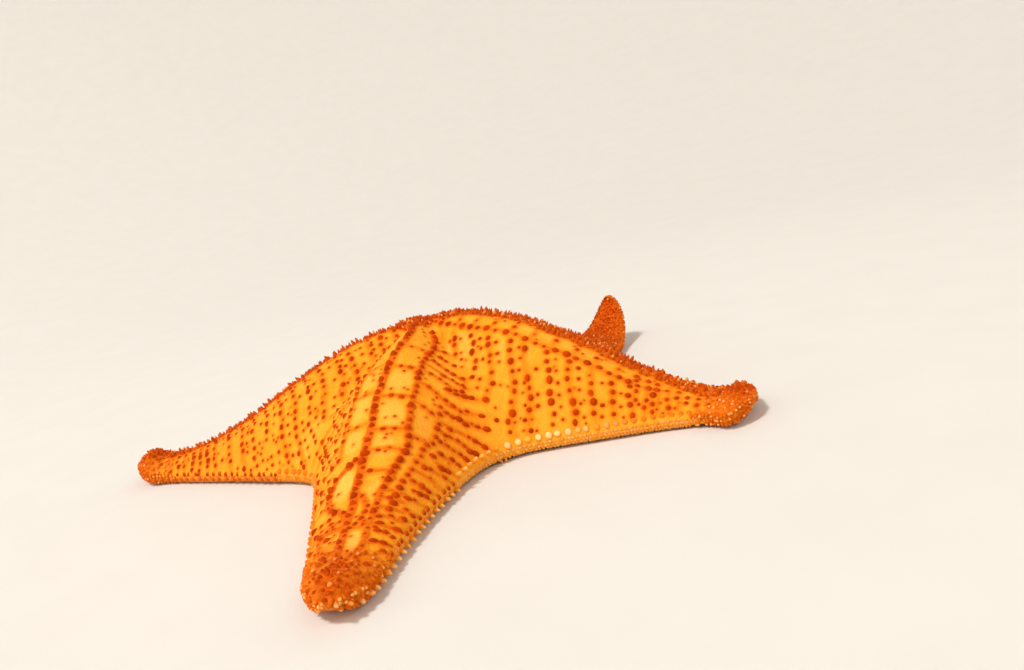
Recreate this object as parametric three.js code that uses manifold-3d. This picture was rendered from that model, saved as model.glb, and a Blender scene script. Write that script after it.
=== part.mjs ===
// Cushion sea star at life size, resting on the floor with the ends of its arms turned up.
// Millimetres, +Z up. The floor is z = 0, and the origin is under the middle of the whole outline.
// The disc, the five arms and their ends are lofts of one body form, parted by thin cuts.
// The mouth plates and the madreporite are pieces of their own, set in sockets in the disc.

import * as THREE from 'three';
import { mergeGeometries, mergeVertices } from 'three/addons/utils/BufferGeometryUtils.js';
import Module from 'manifold-3d';

// Body form, before each arm takes its own pose.
const ARM_LENGTH = 144;
const DISC_HEIGHT = 46.7;
const INTERRADIUS = 64.4;
const HALF_SECTOR = Math.PI / 5;
const ROOT = INTERRADIUS * Math.cos(HALF_SECTOR);

// Outline of an arm: a tapering strip, and a web that rounds the corner between two arms.
const WEB = 4;
const ROOT_HALF_WIDTH = ROOT * Math.tan(HALF_SECTOR) - WEB;
const TIP_HALF_WIDTH = 9.6;
const TAPER_POWER = 1.42;
const BREADTH_RUN = 43;

// Upper side: a crest along each arm, and a valley between two arms.
const CREST_POWER = 2.33;
const CREST_FALL = 3.84;
const VALLEY_RADIUS = 46;
const VALLEY_ROUNDING = 30;
const FLANK_POWER = 3;
const HUMP_WIDTH = 40;
const HUMP_START = 20;

// Margin and underside.
const MARGIN_HEIGHT = 4.8;
const TIP_MARGIN_HEIGHT = 5.4;
const SOLE_EDGE = 0.86;
const TIP_SOLE_EDGE = 0.62;
const GROOVE_DEPTH = 2.4;
const GROOVE_HALF_WIDTH = 3.4;
const GROOVE_FADES_FROM = 118;
const GROOVE_END = 138;

// The knob just before the end of an arm, and where the arm starts to come to its point.
// NOSE is the length over which the end is rounded in height, as a share of its rounding in outline.
const KNOB_AT = 136;
const KNOB_SPREAD = 7.2;
const POINT_FROM = 100;
const NOSE = 0.45;

// Where the body is parted.
const DISC_CUT = 61;
const TIP_CUT = 119;
const GAP = 0.3;

// Where the lofts have their lengthways lines, as shares of the half width.
// They crowd towards the margins, where the form turns. RIM_SHARE is how far out on the rim the
// line between the edge of the sole and the margin runs.
const UPPER_SIDES = [-1, -0.93, -0.78, -0.55, -0.3, 0, 0.3, 0.55, 0.78, 0.93, 1];
const RIM_SHARE = 0.75;

// How many steps each length of the lofts is made in.
const DISC_STEPS = 6;
const ARM_STEPS = 7;
const TIP_STEPS = 5;
const APEX_START = 0.001;

// Spines, as four-sided points with their feet sunk in the body. side is where a row runs,
// from the crest at 0 to the margins at -1 and 1.
const SPINE_SIDES = 4;
const SPINE_SINK = 0.7;
const SPINE_ROWS = [
  { from: 12, to: 134, pitch: 7.1, sides: [0], height: 2.3, radius: 1.5 },
  { from: 56, to: 134, pitch: 9.2, sides: [-0.93, 0.93], height: 1.9, radius: 1.6 },
  { from: 34, to: 118, pitch: 12, sides: [-0.45, 0.45], height: 1.7, radius: 1.4 },
  { from: 126, to: 139, pitch: 5.4, sides: [-0.6, -0.3, 0.3, 0.6], height: 1.8, radius: 1.4 },
];

// Mouth plates and madreporite.
const JAWS = 5;
const JAW_POINT = 0.14;
const JAW_NOTCH = 0.62;
const MOUTH_RADIUS = 9;
const MOUTH_SOCKET_DEPTH = 3.6;
const MOUTH_PLATE_BOTTOM = 1;
const MOUTH_PLATE_THICKNESS = 2.2;
const MADREPORITE_RADIUS = 3.4;
const MADREPORITE_REACH = 20;
const MADREPORITE_SOCKET_DEPTH = 1.6;
const MADREPORITE_CROWN = 0.9;
const ROUND_SEGMENTS = 24;
const BUTTON_SEGMENTS = 24;

// Each arm's own form and pose. Azimuths are 72 degrees apart, counted anticlockwise from +X.
// neck is the height just before the knob, rounding is the length of the rounded end, and
// point is how much the arm narrows towards it. breadth and knob are shares added to its size.
// hump is the height added to the crest around humpAt.
// swing and curl carry the arm sideways, to the left as seen from the disc.
const ARMS = [
  { name: 'front', azimuth: -111.6, length: 145.6, neck: 8.6, breadth: -0.055, knob: 0.165,
    rounding: 26, point: 0.06, hump: 0, humpAt: 60, turnUp: 12, turnFrom: 128,
    swing: 13, curl: 4.1 },
  { name: 'right', azimuth: -39.6, length: 130.4, neck: 7.2, breadth: 0.11, knob: 0.37,
    rounding: 12.5, point: 0.07, hump: 4.4, humpAt: 57, turnUp: 22.5, turnFrom: 129,
    swing: 22.1, curl: -22.1 },
  { name: 'back_right', azimuth: 32.4, length: 144.5, neck: 8, breadth: 0.09, knob: 0.06,
    rounding: 21, point: 0.29, hump: -2.8, humpAt: 84, turnUp: 79, turnFrom: 104,
    swing: 22.3, curl: -4.4 },
  { name: 'back_left', azimuth: 104.4, length: 139.7, neck: 10.8, breadth: 0, knob: 0.28,
    rounding: 18, point: 0.1, hump: 0, humpAt: 60, turnUp: 30, turnFrom: 121,
    swing: -12, curl: -4 },
  { name: 'left', azimuth: 176.4, length: 144.6, neck: 9.9, breadth: -0.045, knob: 0.41,
    rounding: 18, point: 0.11, hump: 0, humpAt: 60, turnUp: 27.5, turnFrom: 128,
    swing: -40.8, curl: 6.4 },
];

const SKIN = { color: 0xe8941f, roughness: 0.7, metalness: 0 };
const TIP_SKIN = { color: 0xd4521b, roughness: 0.7, metalness: 0 };
const ORAL_PLATE = { color: 0xe3c489, roughness: 0.6, metalness: 0 };
const SIEVE_PLATE = { color: 0xf0c886, roughness: 0.8, metalness: 0 };

const wasm = await Module();
wasm.setup();

function smooth(from, to, value) {
  const t = Math.min(1, Math.max(0, (value - from) / (to - from)));
  return t * t * (3 - 2 * t);
}

// How much wider and higher the arm is for its knob, and narrower and lower for its point.
function fullness(arm, x) {
  const knob = 1 + arm.knob * Math.exp(-(((x - KNOB_AT) / KNOB_SPREAD) ** 2));
  return knob * (1 - arm.point * smooth(POINT_FROM, ARM_LENGTH, x));
}

// Half width of the arm's outline at x along its axis. It also grows smoothly inside the disc.
function outline(arm, x) {
  const left = Math.max(0, (ARM_LENGTH - x) / (ARM_LENGTH - ROOT));
  const strip = TIP_HALF_WIDTH + (ROOT_HALF_WIDTH - TIP_HALF_WIDTH) * left ** TAPER_POWER;
  const stripSlope = TAPER_POWER * (ROOT_HALF_WIDTH - TIP_HALF_WIDTH) / (ARM_LENGTH - ROOT);
  const webLength = WEB / (1 / Math.tan(HALF_SECTOR) - stripSlope);
  const web = WEB * Math.exp((ROOT - x) / webLength);
  const breadth = 1 + arm.breadth * smooth(ROOT, ROOT + BREADTH_RUN, x);
  return (strip + web) * breadth * fullness(arm, x);
}

// Half width of the arm's sector: up to the line between two arms, then up to the outline.
function halfWidth(arm, x) {
  return x < ROOT ? x * Math.tan(HALF_SECTOR) : outline(arm, x);
}

// 1 along the arm, falling to 0 at its very end like a quarter circle over the last stretch.
function endCap(x, rounding) {
  const beyond = Math.max(0, (x - (ARM_LENGTH - rounding)) / rounding);
  return Math.sqrt(Math.max(0, 1 - beyond * beyond));
}

function marginHeight(x) {
  return MARGIN_HEIGHT + (TIP_MARGIN_HEIGHT - MARGIN_HEIGHT) * smooth(TIP_CUT, ARM_LENGTH, x);
}

function upperHeight(arm, x, y) {
  const fall = Math.max(0, 1 - (x / ARM_LENGTH) ** CREST_POWER) ** CREST_FALL;
  const hump = arm.hump * Math.exp(-(((x - arm.humpAt) / HUMP_WIDTH) ** 2)) * smooth(0, HUMP_START, x);
  const crest = (arm.neck + (DISC_HEIGHT - arm.neck) * fall) * fullness(arm, x) + hump;
  const r = Math.hypot(x, y);
  const valley = DISC_HEIGHT * Math.exp(-(r * r) / ((r + VALLEY_ROUNDING) * VALLEY_RADIUS));
  const nearCrest = 1 - smooth(0, x * Math.tan(HALF_SECTOR), Math.abs(y));
  const back = valley + (crest - valley) * nearCrest;
  const edge = Math.min(1, Math.abs(y) / outline(arm, x));
  const margin = marginHeight(x);
  return margin + (back - margin) * (1 - edge ** FLANK_POWER) * endCap(x, NOSE * arm.rounding);
}

// Where the flat sole ends and the rim begins, as a share of the half width.
function soleEdge(x) {
  return SOLE_EDGE + (TIP_SOLE_EDGE - SOLE_EDGE) * smooth(TIP_CUT, ARM_LENGTH, x);
}

function underHeight(arm, x, y) {
  const margin = marginHeight(x);
  const edge = Math.min(1, Math.abs(y) / outline(arm, x));
  const rim = Math.max(0, (edge - soleEdge(x)) / (1 - soleEdge(x)));
  const rise = margin * (1 - Math.sqrt(Math.max(0, 1 - rim * rim)));
  const depth = GROOVE_DEPTH * (1 - smooth(GROOVE_FADES_FROM, GROOVE_END, x));
  const groove = depth * Math.max(0, 1 - Math.abs(y) / GROOVE_HALF_WIDTH);
  return margin - (margin - rise - groove) * endCap(x, NOSE * arm.rounding);
}

// Moves a point of the straight body form to its place on the posed arm.
function pose(arm, x, y, z) {
  const turn = THREE.MathUtils.degToRad(arm.turnUp);
  const bendRadius = (ARM_LENGTH - arm.turnFrom) / turn;
  const angle = Math.max(0, x - arm.turnFrom) / bendRadius;
  const reach = Math.min(x, arm.turnFrom) + (bendRadius - z) * Math.sin(angle);
  const height = z + (bendRadius - z) * (1 - Math.cos(angle));
  const out = Math.max(0, (reach - ROOT) / (ARM_LENGTH - ROOT));
  const along = reach + (arm.length - ARM_LENGTH) * out ** 1.5;
  const across = y + arm.swing * out ** 1.3 + arm.curl * out ** 2.5;
  const azimuth = THREE.MathUtils.degToRad(arm.azimuth);
  return new THREE.Vector3(
    along * Math.cos(azimuth) - across * Math.sin(azimuth),
    along * Math.sin(azimuth) + across * Math.cos(azimuth),
    height,
  );
}

// side runs from -1 on the arm's right margin, over the crest at 0, to 1 on its left margin.
function upperPoint(arm, x, side) {
  const y = side * halfWidth(arm, x);
  return pose(arm, x, y * endCap(x, arm.rounding), upperHeight(arm, x, y));
}

function underPoint(arm, x, side) {
  const y = side * halfWidth(arm, x);
  return pose(arm, x, y * endCap(x, arm.rounding), underHeight(arm, x, y));
}

function upperNormal(arm, x, side) {
  const step = 0.5;
  const sideStep = step / halfWidth(arm, x);
  const along = upperPoint(arm, x + step, side).sub(upperPoint(arm, x - step, side));
  const across = upperPoint(arm, x, side + sideStep).sub(upperPoint(arm, x, side - sideStep));
  return along.cross(across).normalize();
}

// Evenly spaced values from first to last.
function steps(first, last, count) {
  return Array.from({ length: count + 1 }, (_, i) => first + (last - first) * i / count);
}

function pushTriangle(positions, a, b, c) {
  positions.push(...a.toArray(), ...b.toArray(), ...c.toArray());
}

// Skin between rows of points. Each row has the same number of points.
function pushRows(positions, rows, flip) {
  for (let i = 0; i + 1 < rows.length; i += 1) {
    for (let j = 0; j + 1 < rows[i].length; j += 1) {
      const corners = [rows[i][j], rows[i + 1][j], rows[i + 1][j + 1], rows[i][j + 1]];
      if (flip) corners.reverse();
      pushTriangle(positions, corners[0], corners[1], corners[2]);
      pushTriangle(positions, corners[0], corners[2], corners[3]);
    }
  }
}

// Flat end of a length of arm, as a fan from its middle. It faces along the arm, or back at the disc.
function pushCap(positions, upper, under, facesOut) {
  const ring = [...upper, ...under.slice(1, -1).reverse()];
  const middle = upper[Math.floor(upper.length / 2)].clone();
  middle.lerp(under[Math.floor(under.length / 2)], 0.5);
  ring.forEach((point, i) => {
    const next = ring[(i + 1) % ring.length];
    if (facesOut) pushTriangle(positions, middle, next, point);
    else pushTriangle(positions, middle, point, next);
  });
}

function solidFrom(geometry) {
  const welded = mergeVertices(positionOnly(geometry), 1e-4);
  const index = welded.index.array;
  const triVerts = [];
  for (let i = 0; i < index.length; i += 3) {
    const [a, b, c] = [index[i], index[i + 1], index[i + 2]];
    if (a !== b && b !== c && c !== a) triVerts.push(a, b, c);
  }
  return new wasm.Manifold(new wasm.Mesh({
    numProp: 3,
    vertProperties: welded.attributes.position.array,
    triVerts: Uint32Array.from(triVerts),
  }));
}

function positionOnly(geometry) {
  const bare = new THREE.BufferGeometry();
  const flat = geometry.index ? geometry.toNonIndexed() : geometry;
  bare.setAttribute('position', flat.attributes.position.clone());
  return bare;
}

function geometryFromPositions(positions) {
  const geometry = new THREE.BufferGeometry();
  geometry.setAttribute('position', new THREE.Float32BufferAttribute(positions, 3));
  return geometry;
}

function geometryFromSolid(solid) {
  const mesh = solid.getMesh();
  const geometry = new THREE.BufferGeometry();
  geometry.setAttribute('position', new THREE.BufferAttribute(mesh.vertProperties, 3));
  geometry.setIndex(new THREE.BufferAttribute(mesh.triVerts, 1));
  geometry.computeVertexNormals();
  return geometry;
}

// Points across the underside: the rim, the edge of the flat sole and the lips of the groove.
function underSides(arm, x) {
  const lip = Math.min(0.5, GROOVE_HALF_WIDTH / halfWidth(arm, x));
  const sole = soleEdge(x);
  const rim = sole + (1 - sole) * RIM_SHARE;
  return [-1, -rim, -sole, -lip, 0, lip, sole, rim, 1];
}

function armRows(arm, stations) {
  return {
    upper: stations.map((x) => UPPER_SIDES.map((side) => upperPoint(arm, x, side))),
    under: stations.map((x) => underSides(arm, x).map((side) => underPoint(arm, x, side))),
  };
}

function discSolid() {
  const positions = [];
  const stations = [...steps(APEX_START, ROOT, DISC_STEPS), 0.5 * (ROOT + DISC_CUT), DISC_CUT];
  const last = stations.length - 1;
  for (const arm of ARMS) {
    const rows = armRows(arm, stations);
    const apex = new THREE.Vector3(0, 0, DISC_HEIGHT);
    const oral = new THREE.Vector3(0, 0, GROOVE_DEPTH);
    rows.upper[0] = rows.upper[0].map(() => apex);
    rows.under[0] = rows.under[0].map(() => oral);
    pushRows(positions, rows.upper, false);
    pushRows(positions, rows.under, true);
    pushCap(positions, rows.upper[last], rows.under[last], true);
  }
  return solidFrom(geometryFromPositions(positions));
}

function armSolid(arm) {
  const positions = [];
  const stations = steps(DISC_CUT + GAP, TIP_CUT, ARM_STEPS);
  const rows = armRows(arm, stations);
  const last = stations.length - 1;
  pushRows(positions, rows.upper, false);
  pushRows(positions, rows.under, true);
  pushCap(positions, rows.upper[0], rows.under[0], false);
  pushCap(positions, rows.upper[last], rows.under[last], true);
  return solidFrom(geometryFromPositions(positions));
}

function tipSolid(arm) {
  const positions = [];
  const capStart = ARM_LENGTH - arm.rounding;
  const turns = steps(0, Math.PI / 2, TIP_STEPS);
  const cap = turns.map((turn) => capStart + arm.rounding * Math.sin(turn));
  const start = TIP_CUT + GAP;
  const middle = start + 0.5 * Math.max(0, capStart - start);
  const stations = [start, middle, ...cap].filter((x, i, all) => i === 0 || x > all[i - 1] + 0.5);
  const rows = armRows(arm, stations);
  const last = stations.length - 1;
  const end = upperPoint(arm, ARM_LENGTH, 0);
  rows.upper[last] = rows.upper[last].map(() => end);
  rows.under[last] = rows.under[last].map(() => end);
  pushRows(positions, rows.upper, false);
  pushRows(positions, rows.under, true);
  pushCap(positions, rows.upper[0], rows.under[0], false);
  return solidFrom(geometryFromPositions(positions));
}

// One spine standing square on the upper side.
function spineAt(arm, x, side, height, radius) {
  const normal = upperNormal(arm, x, side);
  const spine = new THREE.ConeGeometry(radius, height + SPINE_SINK, SPINE_SIDES);
  spine.translate(0, (height + SPINE_SINK) / 2 - SPINE_SINK, 0);
  spine.applyQuaternion(new THREE.Quaternion().setFromUnitVectors(new THREE.Vector3(0, 1, 0), normal));
  spine.translate(...upperPoint(arm, x, side).toArray());
  return positionOnly(spine);
}

// All spines of one arm whose feet lie between two cuts.
function spinesBetween(arm, low, high) {
  const spines = [];
  for (const row of SPINE_ROWS) {
    for (let x = row.from; x <= row.to; x += row.pitch) {
      const clear = row.radius + GAP;
      if (x < low + clear || x > high - clear) continue;
      for (const side of row.sides) spines.push(spineAt(arm, x, side, row.height, row.radius));
    }
  }
  return spines;
}

function withSpines(solid, spines) {
  return solid.add(solidFrom(mergeGeometries(spines)));
}

// Mouth: a ring of five jaws that point at the middle, lying in a round socket.
function mouthSocket() {
  const socket = new THREE.CylinderGeometry(
    MOUTH_RADIUS, MOUTH_RADIUS, 2 * MOUTH_SOCKET_DEPTH, ROUND_SEGMENTS);
  socket.rotateX(Math.PI / 2);
  return solidFrom(socket);
}

function mouthPlates() {
  const outer = MOUTH_RADIUS - GAP;
  const shape = new THREE.Shape();
  shape.absarc(0, 0, outer, 0, 2 * Math.PI, false);
  const opening = new THREE.Path();
  const firstJaw = THREE.MathUtils.degToRad(ARMS[0].azimuth) + HALF_SECTOR;
  for (let i = 0; i < 2 * JAWS; i += 1) {
    const angle = firstJaw + i * Math.PI / JAWS;
    const radius = outer * (i % 2 === 0 ? JAW_POINT : JAW_NOTCH);
    const corner = [radius * Math.cos(angle), radius * Math.sin(angle)];
    if (i === 0) opening.moveTo(...corner);
    else opening.lineTo(...corner);
  }
  opening.closePath();
  shape.holes.push(opening);
  const plates = new THREE.ExtrudeGeometry(shape, {
    depth: MOUTH_PLATE_THICKNESS, bevelEnabled: false, curveSegments: ROUND_SEGMENTS / 2,
  });
  plates.translate(0, 0, MOUTH_PLATE_BOTTOM);
  return plates;
}

// Madreporite: a low sieve button in the valley between the two back arms.
function madreporitePlace() {
  const arm = ARMS[2];
  const x = MADREPORITE_REACH * Math.cos(HALF_SECTOR);
  const place = new THREE.Object3D();
  const point = upperPoint(arm, x, 1);
  const inward = upperPoint(arm, x - 2, 1).sub(upperPoint(arm, x + 2, 1));
  const level = new THREE.Vector3(-point.y, point.x, 0);
  const normal = inward.cross(level).normalize();
  if (normal.z < 0) normal.negate();
  place.position.copy(point);
  place.quaternion.setFromUnitVectors(new THREE.Vector3(0, 0, 1), normal);
  place.updateMatrix();
  return place;
}

function madreporiteSocket(place) {
  const radius = MADREPORITE_RADIUS + GAP;
  const socket = new THREE.CylinderGeometry(
    radius, radius, 2 * MADREPORITE_SOCKET_DEPTH, BUTTON_SEGMENTS);
  socket.rotateX(Math.PI / 2);
  return solidFrom(socket.applyMatrix4(place.matrix));
}

function madreporiteButton() {
  const bottom = GAP - MADREPORITE_SOCKET_DEPTH;
  const dome = steps(0, Math.PI / 2, 4).map((turn) => new THREE.Vector2(
    MADREPORITE_RADIUS * Math.cos(turn), MADREPORITE_CROWN * Math.sin(turn)));
  dome[dome.length - 1].x = 0;
  const profile = [new THREE.Vector2(0, bottom), new THREE.Vector2(MADREPORITE_RADIUS, bottom), ...dome];
  return new THREE.LatheGeometry(profile, BUTTON_SEGMENTS).rotateX(Math.PI / 2);
}

function addPiece(group, name, geometry, look) {
  const mesh = new THREE.Mesh(geometry, new THREE.MeshStandardMaterial(look));
  mesh.name = name;
  group.add(mesh);
  return mesh;
}

function buildStar() {
  const body = new THREE.Group();
  const place = madreporitePlace();
  const discSpines = ARMS.flatMap((arm) => spinesBetween(arm, 0, DISC_CUT));
  const disc = withSpines(discSolid(), discSpines)
    .subtract(mouthSocket())
    .subtract(madreporiteSocket(place));
  addPiece(body, 'disc', geometryFromSolid(disc), SKIN);
  for (const arm of ARMS) {
    const length = withSpines(armSolid(arm), spinesBetween(arm, DISC_CUT + GAP, TIP_CUT));
    const tip = withSpines(tipSolid(arm), spinesBetween(arm, TIP_CUT + GAP, ARM_LENGTH));
    addPiece(body, `arm_${arm.name}`, geometryFromSolid(length), SKIN);
    addPiece(body, `tip_${arm.name}`, geometryFromSolid(tip), TIP_SKIN);
  }
  addPiece(body, 'mouth_plates', mouthPlates(), ORAL_PLATE);
  const button = addPiece(body, 'madreporite', madreporiteButton(), SIEVE_PLATE);
  button.position.copy(place.position);
  button.quaternion.copy(place.quaternion);
  return body;
}

// The origin is moved to the middle of the outline, at floor level.
const star = new THREE.Group();
const body = buildStar();
star.add(body);
const middle = new THREE.Box3().setFromObject(star, true).getCenter(new THREE.Vector3());
body.position.set(-middle.x, -middle.y, 0);
star.updateMatrixWorld(true);

export default star;
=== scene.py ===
"""Looks of the cushion sea star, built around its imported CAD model.

Shapes are worked out in millimetres in the star's own frame, whose origin is on the floor under the
mouth, and are carried to the row's frame in metres when their meshes are made. An arm's own
coordinates are x, from the middle of the disc out along the arm, and share, from -1 on the arm's
right margin, over the crest at 0, to 1 on its left margin, in equal lengths of skin.
"""

import math

import bmesh
import bpy
import numpy as np
from mathutils import Matrix, Vector, noise
from mathutils.kdtree import KDTree


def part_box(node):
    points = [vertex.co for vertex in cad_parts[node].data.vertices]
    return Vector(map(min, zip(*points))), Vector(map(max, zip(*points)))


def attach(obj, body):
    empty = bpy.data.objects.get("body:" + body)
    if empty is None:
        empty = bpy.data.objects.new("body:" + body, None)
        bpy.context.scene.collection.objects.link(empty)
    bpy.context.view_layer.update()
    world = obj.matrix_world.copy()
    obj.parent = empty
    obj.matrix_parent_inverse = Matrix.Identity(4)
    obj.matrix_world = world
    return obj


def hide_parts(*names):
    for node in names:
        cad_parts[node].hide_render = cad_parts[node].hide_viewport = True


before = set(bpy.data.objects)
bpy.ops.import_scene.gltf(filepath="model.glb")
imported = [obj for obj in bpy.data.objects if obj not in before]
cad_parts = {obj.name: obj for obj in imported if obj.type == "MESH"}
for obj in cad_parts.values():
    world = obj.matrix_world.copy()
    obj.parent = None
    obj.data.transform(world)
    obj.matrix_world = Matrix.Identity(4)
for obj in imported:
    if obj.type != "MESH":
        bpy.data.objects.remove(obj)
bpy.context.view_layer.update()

MM = 0.001

# ---------------------------------------------------------------- body form, as in the CAD model

ARM_LENGTH = 144.0
DISC_HEIGHT = 46.7
INTERRADIUS = 64.4
HALF_SECTOR = math.pi / 5
SECTOR_SLOPE = math.tan(HALF_SECTOR)
ROOT = INTERRADIUS * math.cos(HALF_SECTOR)

WEB = 4.0
ROOT_HALF_WIDTH = ROOT * SECTOR_SLOPE - WEB
TIP_HALF_WIDTH = 9.6
TAPER_POWER = 1.42
BREADTH_RUN = 43.0

CREST_POWER = 2.33
CREST_FALL = 3.84
VALLEY_RADIUS = 46.0
VALLEY_ROUNDING = 30.0
FLANK_POWER = 3.0
HUMP_WIDTH = 40.0
HUMP_START = 20.0

MARGIN_HEIGHT = 4.8
TIP_MARGIN_HEIGHT = 5.4
SOLE_EDGE = 0.86
TIP_SOLE_EDGE = 0.62
TIP_CUT = 119.0
KNOB_AT = 136.0
KNOB_SPREAD = 7.2
POINT_FROM = 100.0
NOSE = 0.45  # length over which the end is rounded in height, as a share of its rounding in outline
GROOVE_POWER = 0.7
STRETCH_POWER = 1.5
SWING_POWER = 1.3
CURL_POWER = 2.5

# The groove under each arm is deeper in the skin than in the solid, and the sole is a little higher,
# so that tube feet and short spines fit between it and the floor.
GROOVE_DEPTH = 5.2
GROOVE_HALF_WIDTH = 3.6
GROOVE_FADES_FROM = 118.0
GROOVE_END = 138.0
SOLE_LIFT = 1.3

# Each arm's form and pose as in the CAD model, then its looks: the half width of the crowded band
# along its crest, where its red end begins, how much less red its right and left flanks are there, how
# far the flanks catch up at the very tip, how red its sole is, where painted shade makes its left flank
# a deeper orange (x, arc and strength), how pale, wide and high the nubs of its right and left margins
# are and how much they shrink towards the tip, from which x on they grow low on the rim, and the seed
# of its irregularities.
ARMS = [
    dict(name="front", azimuth=-111.6, length=145.6, neck=8.6, breadth=-0.055, knob=0.165,
         rounding=26, point=0.06, hump=0, hump_at=60,
         turn_up=12, turn_from=128, swing=13, curl=4.1,
         crowd=1.2, red_from=126, less_red=(0.8, 0.35), red_tip=0.1, sole_red=0.4,
         shade=(50, 15, 0.22), nubs=((0.3, 0.85, 1.3, 0.1), (0.8, 0.75, 2.3, 0.0)),
         low_from=(200, 74), seed=3),
    dict(name="right", azimuth=-39.6, length=130.4, neck=7.2, breadth=0.11, knob=0.37,
         rounding=12.5, point=0.07, hump=4.4, hump_at=57,
         turn_up=22.5, turn_from=129, swing=22.1, curl=-22.1,
         crowd=4.2, red_from=127, less_red=(0.75, 0.6), red_tip=0.8, sole_red=0.5,
         shade=(0, 60, 0), nubs=((1.0, 1.3, 1.15, 0.2), (0.3, 0.9, 1.0, 0.2)),
         low_from=(200, 100), seed=11),
    dict(name="back_right", azimuth=32.4, length=144.5, neck=8, breadth=0.09, knob=0.06,
         rounding=21, point=0.29, hump=-2.8, hump_at=84,
         turn_up=79, turn_from=104, swing=22.3, curl=-4.4,
         crowd=5.0, red_from=88, less_red=(0.05, 0.05), red_tip=0, sole_red=0.95,
         shade=(0, 60, 0), nubs=((0.4, 0.8, 1.2, 0.1), (0.4, 0.8, 1.2, 0.1)),
         low_from=(60, 60), seed=23),
    dict(name="back_left", azimuth=104.4, length=139.7, neck=10.8, breadth=0, knob=0.28,
         rounding=18, point=0.1, hump=0, hump_at=60,
         turn_up=30, turn_from=121, swing=-12, curl=-4,
         crowd=5.0, red_from=112, less_red=(0.5, 0.5), red_tip=0.6, sole_red=0.6,
         shade=(0, 60, 0), nubs=((0.4, 0.9, 1.0, 0.2), (0.4, 0.9, 1.0, 0.2)),
         low_from=(60, 60), seed=31),
    dict(name="left", azimuth=176.4, length=144.6, neck=9.9, breadth=-0.045, knob=0.41,
         rounding=18, point=0.11, hump=0, hump_at=60,
         turn_up=27.5, turn_from=128, swing=-40.8, curl=6.4,
         crowd=3.6, red_from=125, less_red=(0.5, 0.7), red_tip=0.8, sole_red=0.4,
         shade=(70, 4, 0.2), nubs=((0.3, 0.9, 1.0, 0.2), (0.1, 1.15, 1.3, 0.1)),
         low_from=(200, 66), seed=47),
]


def smooth(low, high, value):
    t = np.clip((value - low) / (high - low), 0.0, 1.0)
    return t * t * (3.0 - 2.0 * t)


def fullness(arm, x):
    """How much wider and higher the arm is for its knob, and narrower and lower for its point."""
    knob = 1.0 + arm["knob"] * np.exp(-(((x - KNOB_AT) / KNOB_SPREAD) ** 2))
    return knob * (1.0 - arm["point"] * smooth(POINT_FROM, ARM_LENGTH, x))


def outline(arm, x):
    """Half width of the arm at x."""
    left = np.maximum(0.0, (ARM_LENGTH - x) / (ARM_LENGTH - ROOT))
    strip = TIP_HALF_WIDTH + (ROOT_HALF_WIDTH - TIP_HALF_WIDTH) * left ** TAPER_POWER
    strip_slope = TAPER_POWER * (ROOT_HALF_WIDTH - TIP_HALF_WIDTH) / (ARM_LENGTH - ROOT)
    web_length = WEB / (1.0 / SECTOR_SLOPE - strip_slope)
    web = WEB * np.exp((ROOT - x) / web_length)
    breadth = 1.0 + arm["breadth"] * smooth(ROOT, ROOT + BREADTH_RUN, x)
    return (strip + web) * breadth * fullness(arm, x)


def half_width(arm, x):
    """Half width of the arm's sector: up to the line between two arms, then up to the outline."""
    return np.where(x < ROOT, x * SECTOR_SLOPE, outline(arm, x))


def end_cap(x, rounding):
    beyond = np.maximum(0.0, (x - (ARM_LENGTH - rounding)) / rounding)
    return np.sqrt(np.maximum(0.0, 1.0 - beyond * beyond))


def margin_height(x):
    return MARGIN_HEIGHT + (TIP_MARGIN_HEIGHT - MARGIN_HEIGHT) * smooth(TIP_CUT, ARM_LENGTH, x)


def upper_height(arm, x, y):
    fall = np.maximum(0.0, 1.0 - (x / ARM_LENGTH) ** CREST_POWER) ** CREST_FALL
    hump = arm["hump"] * np.exp(-(((x - arm["hump_at"]) / HUMP_WIDTH) ** 2))
    hump = hump * smooth(0.0, HUMP_START, x)
    crest = (arm["neck"] + (DISC_HEIGHT - arm["neck"]) * fall) * fullness(arm, x) + hump
    r = np.hypot(x, y)
    valley = DISC_HEIGHT * np.exp(-(r * r) / ((r + VALLEY_ROUNDING) * VALLEY_RADIUS))
    near_crest = 1.0 - smooth(0.0, x * SECTOR_SLOPE + 1e-9, np.abs(y))
    back = valley + (crest - valley) * near_crest
    edge = np.minimum(1.0, np.abs(y) / outline(arm, x))
    margin = margin_height(x)
    return margin + (back - margin) * (1.0 - edge ** FLANK_POWER) * end_cap(x, NOSE * arm["rounding"])


def sole_edge(x):
    """Where the flat sole ends and the rim begins, as a share of the half width."""
    return SOLE_EDGE + (TIP_SOLE_EDGE - SOLE_EDGE) * smooth(TIP_CUT, ARM_LENGTH, x)


def on_rim(x, sign, turn):
    """Share of the half width at turn round the rim: 0 at the sole, a right angle at the margin."""
    return sign * (sole_edge(x) + (1.0 - sole_edge(x)) * np.sin(turn))


def under_height(arm, x, y):
    margin = margin_height(x)
    edge = np.minimum(1.0, np.abs(y) / outline(arm, x))
    rim = np.maximum(0.0, (edge - sole_edge(x)) / (1.0 - sole_edge(x)))
    rise = margin * (1.0 - np.sqrt(np.maximum(0.0, 1.0 - rim * rim)))
    depth = GROOVE_DEPTH * smooth(GROOVE_END, GROOVE_FADES_FROM, x)
    groove = depth * np.maximum(0.0, 1.0 - np.abs(y) / GROOVE_HALF_WIDTH) ** GROOVE_POWER
    lift = SOLE_LIFT * (1.0 - rim)
    return margin - (margin - rise - groove - lift) * end_cap(x, NOSE * arm["rounding"])


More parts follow.
